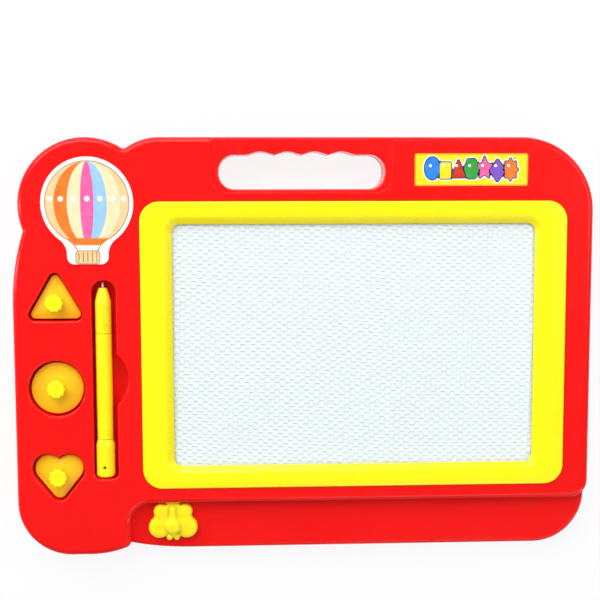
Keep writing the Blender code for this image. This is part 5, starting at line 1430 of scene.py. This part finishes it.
def knob_rings_fine():
    """Peg, neck, and a head with rounded scallops and a shallow dish on top."""
    count = KNOB_LOBES * KNOB_LOBE_POINTS
    seat = COLLAR_Z + CLEARANCE
    neck_top = seat + KNOB_NECK_HEIGHT
    top = neck_top + KNOB_HEAD_HEIGHT
    edge = KNOB_EDGE_RADIUS
    plain = [(PEG_RADIUS, COLLAR_Z - PEG_LENGTH), (PEG_RADIUS, seat)]
    plain += [(KNOB_NECK_RADIUS, seat), (KNOB_NECK_RADIUS, neck_top)]
    head = [(KNOB_RADIUS - edge, neck_top), (KNOB_RADIUS - edge / 3, neck_top + edge / 4)]
    head.append((KNOB_RADIUS, neck_top + edge))
    head += [(KNOB_RADIUS - within, top - below) for within, below in quarter(edge)]
    head += [(KNOB_RADIUS * share, top - edge * depth) for share, depth in KNOB_DISH]
    rings = turned(0, 0, plain, count)
    for radius, z in head:
        depth = KNOB_SCALLOP * min(1.0, radius / KNOB_RADIUS) ** 3
        ring = []
        for a in [2 * math.pi * i / count for i in range(count)]:
            r = radius + depth * (1 - 2 * abs(math.sin(KNOB_LOBES * a / 2)) ** SCALLOP_POWER)
            ring.append((r * math.cos(a), r * math.sin(a), z))
        rings.append(ring)
    return rings


# Pen


def pen_turned(name, profile, looks, node, loop=False, sides=PEN_SIDES):
    """A piece of the pen from radius and distance back from the tip."""
    angles = [2 * math.pi * i / sides for i in range(sides)]
    rings = [[(r * math.cos(a), -back, r * math.sin(a)) for a in angles] for r, back in profile]
    piece = lofted(name, rings, loop=loop)
    piece.location = (PEN_X, PEN_TIP_Y, PEN_Z)
    polish(piece, looks, 42, False)
    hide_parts(node)
    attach(piece, "pen")
    return piece


def grooved(start, end, first):
    """A straight run of the pen with fine turned grooves from a first one on."""
    radius, half = PEN_BARREL_RADIUS, GROOVE_WIDTH / 2
    run = [(radius, start)]
    for place in [first + i * GROOVE_PITCH for i in range(GROOVES)]:
        run += [(radius, place - half), (radius - GROOVE_DEPTH, place - half / 2)]
        run += [(radius - GROOVE_DEPTH, place + half / 2), (radius, place + half)]
    return [*run, (radius, end)]


def pen_pieces():
    """Nose, steel tip, barrel and end cap, from the tip back."""
    bore = PEN_BARREL_RADIUS - PEN_WALL
    half = PEN_JOINT_CHAMFER / 2
    joint = PEN_BARREL_RADIUS - PEN_JOINT_CHAMFER + half
    face = PEN_TIP_LENGTH
    cone = face + PEN_CONE_LENGTH
    nose_end = face + PEN_NOSE_LENGTH
    hole, small = PEN_TIP_RADIUS + CLEARANCE, PEN_NOSE_FACE_RADIUS
    shares = [i / PEN_STEPS for i in range(1, PEN_STEPS + 1)]
    edge = NOSE_EDGE
    nose = [(small - edge, face), (small - edge / 5, face + edge / 5), (small, face + edge)]
    for share in shares:
        bulge = math.sin(share * math.pi / 2) * NOSE_BULGE + share * (1 - NOSE_BULGE)
        swell = (PEN_BARREL_RADIUS - small) * bulge
        nose.append((small + swell, face + edge + (PEN_CONE_LENGTH - edge) * share))
    nose += grooved(cone + CONE_EASE, nose_end - half, nose_end - NOSE_GROOVES_BACK * GROOVE_PITCH)
    nose += [(joint, nose_end), (bore, nose_end), (bore, cone + PEN_WALL)]
    nose += [(hole, face + PEN_TIP_SEAT + CLEARANCE), (hole, face)]
    pen_turned("pen_nose_yellow", nose, [PEN_LOOK], "pen_nose", True)
    tip = []
    for i in range(BALL_STEPS + 1):
        a = math.pi / 2 * (i + BALL_START) / (BALL_STEPS + BALL_START)
        tip.append((PEN_TIP_RADIUS * math.sin(a), PEN_TIP_RADIUS * (1 - math.cos(a))))
    tip.append((PEN_TIP_RADIUS, face + PEN_TIP_SEAT))
    pen_turned("pen_tip_steel", tip, [STEEL_LOOK], "pen_tip", sides=TIP_SIDES)
    start = nose_end + CLEARANCE
    end = start + PEN_BARREL_LENGTH
    spigot = bore - CLEARANCE
    inside = spigot - PEN_SPIGOT_WALL
    barrel = [(spigot, start - PEN_SPIGOT), (spigot, start), (joint, start)]
    barrel += grooved(start + half, end - half, end - BARREL_GROOVES_BACK * GROOVE_PITCH)
    barrel += [(joint, end), (spigot, end), (spigot, end + PEN_SPIGOT)]
    barrel += [(inside, end + PEN_SPIGOT), (inside, start - PEN_SPIGOT)]
    pen_turned("pen_barrel_yellow", barrel, [PEN_LOOK], "pen_barrel", True)
    mouth = end + CLEARANCE
    close = mouth + PEN_CAP_LENGTH
    cap = [(bore, close - PEN_CAP_FLOOR), (bore, mouth), (joint, mouth), (PEN_BARREL_RADIUS, mouth + half)]
    flare = PEN_CAP_RADIUS - PEN_BARREL_RADIUS
    for share in shares:
        ease = share * share * (3 - 2 * share)
        cap.append((PEN_BARREL_RADIUS + flare * ease, mouth + half + PEN_CAP_FLARE * share))
    for within, below in quarter(PEN_CAP_END_RADIUS, steps=2 * EDGE_STEPS):
        cap.append((PEN_CAP_RADIUS - within, close - below))
    end_cap = pen_turned("pen_cap_yellow", cap, [PEN_LOOK], "pen_end_cap")
    cord_hole(end_cap, PEN_TIP_Y + CORD_HOLE_FROM_END - close)
    polish(end_cap, [PEN_LOOK], 42, True)


def cord_hole(end_cap, y):
    """Drills the hole near the cap's end from top to bottom, with a flare on either side."""
    reach = PEN_CAP_RADIUS + OVERRUN
    flared = CORD_HOLE_RADIUS * CORD_HOLE_FLARE
    skin = PEN_CAP_RADIUS - CORD_HOLE_RADIUS * CORD_HOLE_MOUTH
    drill = [(flared, -reach), (flared, -skin), (CORD_HOLE_RADIUS, -skin * CORD_HOLE_FLARE_END)]
    drill += [(radius, -z) for radius, z in reversed(drill)]
    hole = lofted("cord_hole_fine", turned(PEN_X, y, drill, BORE_SIDES))
    hole.location = (0, 0, PEN_Z)
    bpy.context.view_layer.update()
    cut(end_cap, hole)


# Butterfly knob


def lobe(bm, x, y, radius, bottom, top, fullness):
    """A domed round: straight side, then a dome that flattens towards its middle."""
    base = circle(x, y, radius, LOBE_SIDES)
    rings = [level(base, bottom)]
    side = bottom + (top - bottom) * LOBE_SIDE_SHARE
    for a in [math.pi / 2 * i / (LOBE_STEPS + 0.5) for i in range(LOBE_STEPS + 1)]:
        reach = math.cos(a) ** fullness
        outline = [Vector((x + (p.x - x) * reach, y + (p.y - y) * reach)) for p in base]
        rings.append(level(outline, side + (top - side) * math.sin(a)))
    add_rings(bm, rings)


def lobes(name, across, y, radius, top, fullness=DOME_FULLNESS):
    """A pair of rounds beside the butterfly's middle, or a single one on it."""
    bm = bmesh.new()
    for side in (-1, 1) if across else (0,):
        lobe(bm, ERASER_X + side * across, y, radius, LEDGE_Z + KNOB_LIFT, top, fullness)
    return add_object(name, bm)


def butterfly_piece():
    """Wings, body and head in one soft moulding, with the socket for the arm's tongue."""
    bottom = LEDGE_Z + KNOB_LIFT
    y = LEDGE_WALL_Y - KNOB_GAP
    knob = lobes("butterfly_knob", LOWER_WING_X, y - LOWER_WING_DROP, LOWER_WING_RADIUS, WING_TOP_Z)
    upper = (y - UPPER_WING_DROP, UPPER_WING_RADIUS, WING_TOP_Z, WING_FULLNESS)
    parts = [lobes("upper_wings_fine", UPPER_WING_X, *upper)]
    waist_x, waist_drop = (UPPER_WING_X + LOWER_WING_X) / 2, (UPPER_WING_DROP + LOWER_WING_DROP) / 2
    waist = (y - waist_drop, UPPER_WING_RADIUS - WAIST_DROP, WING_TOP_Z - WAIST_DROP, WING_FULLNESS)
    parts.append(lobes("wing_waists_fine", waist_x, *waist))
    link = rounded_rectangle(
        ERASER_X, y - LINK_DOWN, 2 * LOWER_WING_X + LINK_SIZE[0], LINK_SIZE[1], LINK_RADIUS
    )
    link_rings = rounded_top(link, bottom, WING_TOP_Z - LINK_DROP, LINK_EDGE_RADIUS)
    parts.append(lofted("wing_link_fine", link_rings))
    web_low = y - LOWER_WING_DROP
    web = rounded_rectangle(ERASER_X, (y + web_low) / 2, WEB_FINE_WIDTH, y - web_low, KNOB_LIFT)
    parts.append(prism("web_fine", web, bottom, WEB_TOP_Z - WAIST_DROP))
    head_low, head_high = y - BULB_DROP, y - THORAX_DROP
    head_width, head_y = HEAD_WIDTH * HEAD_SHARE, (head_low + head_high) / 2
    head = rounded_rectangle(ERASER_X, head_y, head_width, head_high - head_low, BULB_RADIUS)
    parts.append(prism("head_fine", head, bottom, NAPE_TOP_Z))
    parts.append(lobes("thorax_fine", 0, y - THORAX_DROP, THORAX_RADIUS, THORAX_TOP_Z))
    length = THORAX_DROP - ABDOMEN_RADIUS / 2
    middle = y - ABDOMEN_RADIUS / 2 - length / 2
    stick = rounded_rectangle(ERASER_X, middle, 2 * ABDOMEN_RADIUS, length, ABDOMEN_RADIUS * STICK_END_SHARE)
    stick_edge = ABDOMEN_RADIUS * STICK_EDGE_SHARE
    parts.append(lofted("stick_fine", rounded_top(stick, bottom, ABDOMEN_TOP_Z, stick_edge)))
    parts.append(lobes("bulbs_fine", BULB_X, y - BULB_DROP, BULB_RADIUS, BULB_TOP_Z))
    for part in parts:
        join(knob, part)
    fit = TONGUE_WIDTH / 2 + CLEARANCE
    socket = (ERASER_X - fit, ERASER_X + fit, y - TONGUE_LENGTH - CLEARANCE, y + OVERRUN)
    cut_rings(knob, "tongue_fine", box_rings(*socket, ARM_BOTTOM_Z - CLEARANCE, ARM_TOP_Z + CLEARANCE))
    remesh = knob.modifiers.new("soft_form", "REMESH")
    remesh.mode = "VOXEL"
    remesh.voxel_size = SOFT_VOXEL
    ease = knob.modifiers.new("soft_edges", "SMOOTH")
    ease.factor = 0.5
    ease.iterations = SOFT_ROUNDS
    polish(knob, [BUTTERFLY_LOOK], 60, False)
    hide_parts("eraser_knob")
    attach(knob, "eraser")


# Printed label and picture, both plain designs


def star(y, outer, inner, points):
    spots = []
    for i in range(points * 2):
        a = math.pi / 2 + math.pi * i / points
        r = inner if i % 2 else outer
        spots.append(Vector((r * math.cos(a), y + r * math.sin(a))))
    return spots


def rounded_corners(outline, radius):
    """Each sharp corner of a convex or hollow outline replaced by a small curve."""
    points = []
    for i, point in enumerate(outline):
        before, after = outline[i - 1], outline[(i + 1) % len(outline)]
        a = point + (before - point).normalized() * radius
        b = point + (after - point).normalized() * radius
        for t in [k / CORNER_STEPS for k in range(CORNER_STEPS + 1)]:
            points.append(a.lerp(point, t).lerp(point.lerp(b, t), t))
    return points


def printed(name, outline, low, layer, ink):
    """A thin printed layer on the film below."""
    z = low + PRINT_THICKNESS * layer
    piece = prism(name, outline, z, z + PRINT_THICKNESS * PRINT_SHARE)
    piece.data.materials.append(INKS[ink])
    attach(piece, "case")


INK_COLOURS = {
    "white": ((0.93, 0.92, 0.90), (0.88, 0.87, 0.85)),
    "navy": ((0.045, 0.05, 0.16), (0.03, 0.035, 0.11)),
    "blue": ((0.04, 0.28, 0.85), (0.03, 0.20, 0.70)),
    "yellow": ((0.98, 0.80, 0.02), (0.95, 0.74, 0.015)),
    "red": ((0.72, 0.05, 0.02), (0.55, 0.03, 0.02)),
    "green": ((0.05, 0.42, 0.06), (0.03, 0.30, 0.04)),
    "pink": ((0.92, 0.16, 0.42), (0.82, 0.10, 0.34)),
    "purple": ((0.26, 0.12, 0.62), (0.20, 0.08, 0.50)),
    "orange": ((0.90, 0.24, 0.03), (0.80, 0.17, 0.02)),
    "peach": ((0.93, 0.66, 0.36), (0.90, 0.56, 0.26)),
    "cream": ((0.95, 0.80, 0.52), (0.92, 0.73, 0.42)),
    "brown": ((0.42, 0.20, 0.07), (0.32, 0.14, 0.05)),
    "sky": ((0.35, 0.62, 0.88), (0.28, 0.54, 0.82)),
}
INKS = {name: grainy(f"ink_{name}", *colours, *PRINT_GRAIN) for name, colours in INK_COLOURS.items()}


def label_motifs():
    """Seven plain shapes by their ink, each about a middle a little above or below the row's."""
    unit = MOTIF_REACH
    return {
        "blue": circle(0, 0.0006, unit * 1.08, 48),
        "yellow": rounded_corners(circle(0, -0.0004, unit * 1.12, 4, math.pi / 4), 0.0012),
        "red": rounded_corners(circle(0, -0.0008, unit * 1.2, 3, math.pi / 2), 0.0013),
        "green": rounded_corners(circle(0, 0.0004, unit * 1.1, 6), 0.0010),
        "pink": rounded_corners(star(0.0006, unit * 1.2, unit * 0.62, 5), 0.0008),
        "purple": rounded_corners(circle(0, -0.0004, unit * 1.15, 4), 0.0012),
        "orange": rounded_corners(star(0.0, unit * 1.15, unit * 0.80, 8), 0.0007),
    }


def label_pieces():
    """An orange plate with a yellow field and a row of plain shapes."""
    low = FACE_Z - LABEL_RECESS + ADHESIVE
    plate = prism("label_plate", label_rectangle(), low, low + LABEL_THICKNESS)
    look = grainy("label_orange_print", (0.95, 0.36, 0.02), (0.95, 0.30, 0.015), *PLATE_GRAIN)
    polish(plate, [look], 40, False)
    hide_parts("label_sticker")
    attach(plate, "case")
    top = low + LABEL_THICKNESS
    x0 = LEFT_EDGE + LABEL_LEFT
    y = TOP_EDGE - LABEL_TOP - LABEL_HEIGHT / 2
    width, height = LABEL_WIDTH - 2 * LABEL_BORDER, LABEL_HEIGHT - 2 * LABEL_BORDER
    panel = rounded_rectangle(x0 + LABEL_WIDTH / 2, y, width, height, LABEL_RADIUS - LABEL_BORDER / 2)
    printed("label_field", panel, top, 0, "yellow")
    motifs = label_motifs()
    for i, (ink, outline) in enumerate(motifs.items()):
        tall = [Vector((p.x, p.y * MOTIF_STRETCH)) for p in outline]
        x = x0 + MOTIF_MARGIN + (LABEL_WIDTH - 2 * MOTIF_MARGIN) / (len(motifs) - 1) * i
        placed = moved(tall, x, y)
        printed(f"motif_halo_{ink}", inset(placed, -HALO_WIDTH), top, 1, "white")
        printed(f"motif_line_{ink}", inset(placed, -LINE_WIDTH), top, 2, "navy")
        printed(f"motif_fill_{ink}", placed, top, 3, ink)
        glint = moved(circle(0, 0, GLINT_RADIUS, GLINT_SIDES), x + GLINT_PLACE[0], y + GLINT_PLACE[1])
        printed(f"motif_glint_{ink}", glint, top, 4, "white")


def gore(x, y, radius, first, second):
    """A stripe of the balloon between two meridians, given as shares of the radius."""
    rise = math.pi / 2 + BALLOON_FOOT
    angles = [-BALLOON_FOOT + rise * i / BALLOON_STEPS for i in range(BALLOON_STEPS + 1)]
    right = [Vector((x + radius * second * math.cos(a), y + radius * math.sin(a))) for a in angles]
    left = [Vector((x + radius * first * math.cos(a), y + radius * math.sin(a))) for a in angles]
    return tidy(right + left[::-1])


def picture_pieces():
    """A plain striped balloon with a basket, on a white die-cut."""
    x = LEFT_EDGE + LOBE_INSET + LOBE_RADIUS + STICKER_HEAD_SHIFT
    y = TOP_EDGE - LOBE_RADIUS + STICKER_HEAD_RISE
    low = FACE_Z + ADHESIVE
    base = prism("picture_die_cut", moved(sticker_outline(), x, y), low, low + STICKER_THICKNESS)
    polish(base, [INKS["white"]], 40, False)
    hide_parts("picture_sticker")
    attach(base, "case")
    top = low + STICKER_THICKNESS
    inks = ("peach", "orange", "cream", "pink", "sky", "cream", "peach")
    stripes = list(zip(BALLOON_EDGES, BALLOON_EDGES[1:]))
    radius = STICKER_HEAD_RADIUS - BALLOON_MARGIN
    printed("balloon_line", inset(gore(x, y, radius, -1.0, 1.0), -OUTLINE_WIDTH), top, 0, "brown")
    for i, (ink, stripe) in enumerate(zip(inks, stripes)):
        printed(f"balloon_stripe_{i}", gore(x, y, radius, *stripe), top, 1, ink)
    for i, (first, second) in enumerate(stripes):
        spot_x, spot_y = x + radius * (first + second) / 2 * SPOT_SPREAD, y + radius * SPOT_RISE
        printed(f"balloon_spot_{i}", circle(spot_x, spot_y, SPOT_RADIUS, SPOT_SIDES), top, 2, "white")
    skirt_top = y - radius * math.sin(BALLOON_FOOT)
    skirt_foot = skirt_top - SKIRT_HEIGHT
    half = radius * math.cos(BALLOON_FOOT)
    skirt = [(-half, skirt_top), (-half * SKIRT_SHARE, skirt_foot)]
    skirt += [(half * SKIRT_SHARE, skirt_foot), (half, skirt_top)]
    printed("balloon_skirt", [Vector((x + out, z)) for out, z in skirt], top, 1, "orange")
    basket_top = skirt_top - BASKET_DROP
    middle = basket_top - BASKET_SIZE[1] / 2
    basket = rounded_rectangle(x, middle, *BASKET_SIZE, BASKET_RADIUS)
    printed("basket_line", inset(basket, -OUTLINE_WIDTH), top, 1, "brown")
    printed("basket_fill", basket, top, 2, "peach")
    for i in range(SLATS):
        slat = rounded_rectangle(x + (i - SLATS // 2) * SLAT_PITCH, middle, *SLAT_SIZE, SLAT_RADIUS)
        printed(f"basket_slat_{i}", slat, top, 3, "brown")
    for i, side in enumerate((-1, 1)):
        high = Vector((x + side * half * ROPE_TOP_SHARE, skirt_foot))
        foot = Vector((x + side * ROPE_FOOT_X, basket_top))
        across = Vector((ROPE_WIDTH / 2, 0))
        rope = [high - across, foot - across, foot + across, high + across]
        printed(f"basket_rope_{i}", rope, top, 2, "brown")


def carried_nodes():
    """Looks of the CAD nodes that stay."""
    looks = {"eraser_carriage": BUTTERFLY_LOOK, "eraser_magnet": MAGNET_LOOK}
    looks |= {"screen_back_film": BACK_FILM_LOOK, "screen_front_film": FILM_LOOK}
    looks |= {f"{name}_stamp_magnet": MAGNET_LOOK for name, _, _ in STAMPS}
    looks |= {name: STEEL_LOOK for name in frame["nodes"] if name.startswith("case_screw")}
    for name, look in looks.items():
        for place in frame["nodes"][name].material_slots:
            place.material = look


# Light, floor and camera


def white_stage():
    """A pale floor that looks white to camera, gloss and glass, and keeps the board's shadow."""
    bpy.ops.mesh.primitive_plane_add(size=FLOOR_SIZE, location=(0, 0, -FLOOR_DROP))
    floor = bpy.context.object
    floor.name = "floor"
    look = Look("floor_white")
    look.set(Base_Color=(0.86, 0.86, 0.86, 1.0), Roughness=0.9)
    glow = look.add("ShaderNodeEmission")
    glow.inputs["Strength"].default_value = 1.0
    rays = look.add("ShaderNodeLightPath")
    both = look.math("MAXIMUM", rays.outputs["Is Camera Ray"], rays.outputs["Is Glossy Ray"])
    seen = look.math("MAXIMUM", both, rays.outputs["Is Transmission Ray"])
    blend = look.add("ShaderNodeMixShader")
    look.feed(blend.inputs[0], look.math("MULTIPLY", seen, FLOOR_SEEN))
    look.feed(blend.inputs[1], look.shader.outputs[0])
    look.feed(blend.inputs[2], glow.outputs[0])
    look.feed(look.tree.nodes["Material Output"].inputs["Surface"], blend.outputs[0])
    floor.data.materials.append(look.material)


def area_light(name, place, size, power):
    """A rectangular lamp that points at the middle of the board."""
    light = bpy.data.lights.new(name, "AREA")
    light.shape = "RECTANGLE"
    light.size, light.size_y = size
    light.energy = power
    obj = bpy.data.objects.new(name, light)
    bpy.context.scene.collection.objects.link(obj)
    obj.location = place
    obj.rotation_euler = (-Vector(place)).to_track_quat("-Z", "Y").to_euler()


def light_and_camera():
    """Soft studio light, and the camera where the photograph was taken from."""
    scene = bpy.context.scene
    scene.view_settings.view_transform = "Standard"
    scene.world = bpy.data.worlds.new("studio")
    scene.world.use_nodes = True
    back = scene.world.node_tree.nodes["Background"]
    back.inputs["Color"].default_value = (1.0, 1.0, 1.0, 1.0)
    back.inputs["Strength"].default_value = WORLD_STRENGTH
    for lamp in LAMPS:
        area_light(*lamp)
    lens = bpy.data.cameras.new("camera")
    lens.sensor_width = CAMERA_SENSOR
    lens.lens = CAMERA_LENS
    lens.clip_start = 0.01
    camera = bpy.data.objects.new("camera", lens)
    scene.collection.objects.link(camera)
    camera.location = CAMERA_PLACE
    turn = Vector([math.radians(angle) for angle in CAMERA_TURN])
    camera.rotation_mode = "QUATERNION"
    camera.rotation_quaternion = Quaternion(turn.normalized(), turn.length)
    scene.camera = camera


light_and_camera()
white_stage()
shell_piece()
cover_piece()
bezel_piece()
honeycomb_piece()
for stamp_name, stamp_outline, stamp_y in STAMPS:
    stamp_pieces(stamp_name, stamp_outline, stamp_y)
pen_pieces()
butterfly_piece()
label_pieces()
picture_pieces()
carried_nodes()
drop_cutters()
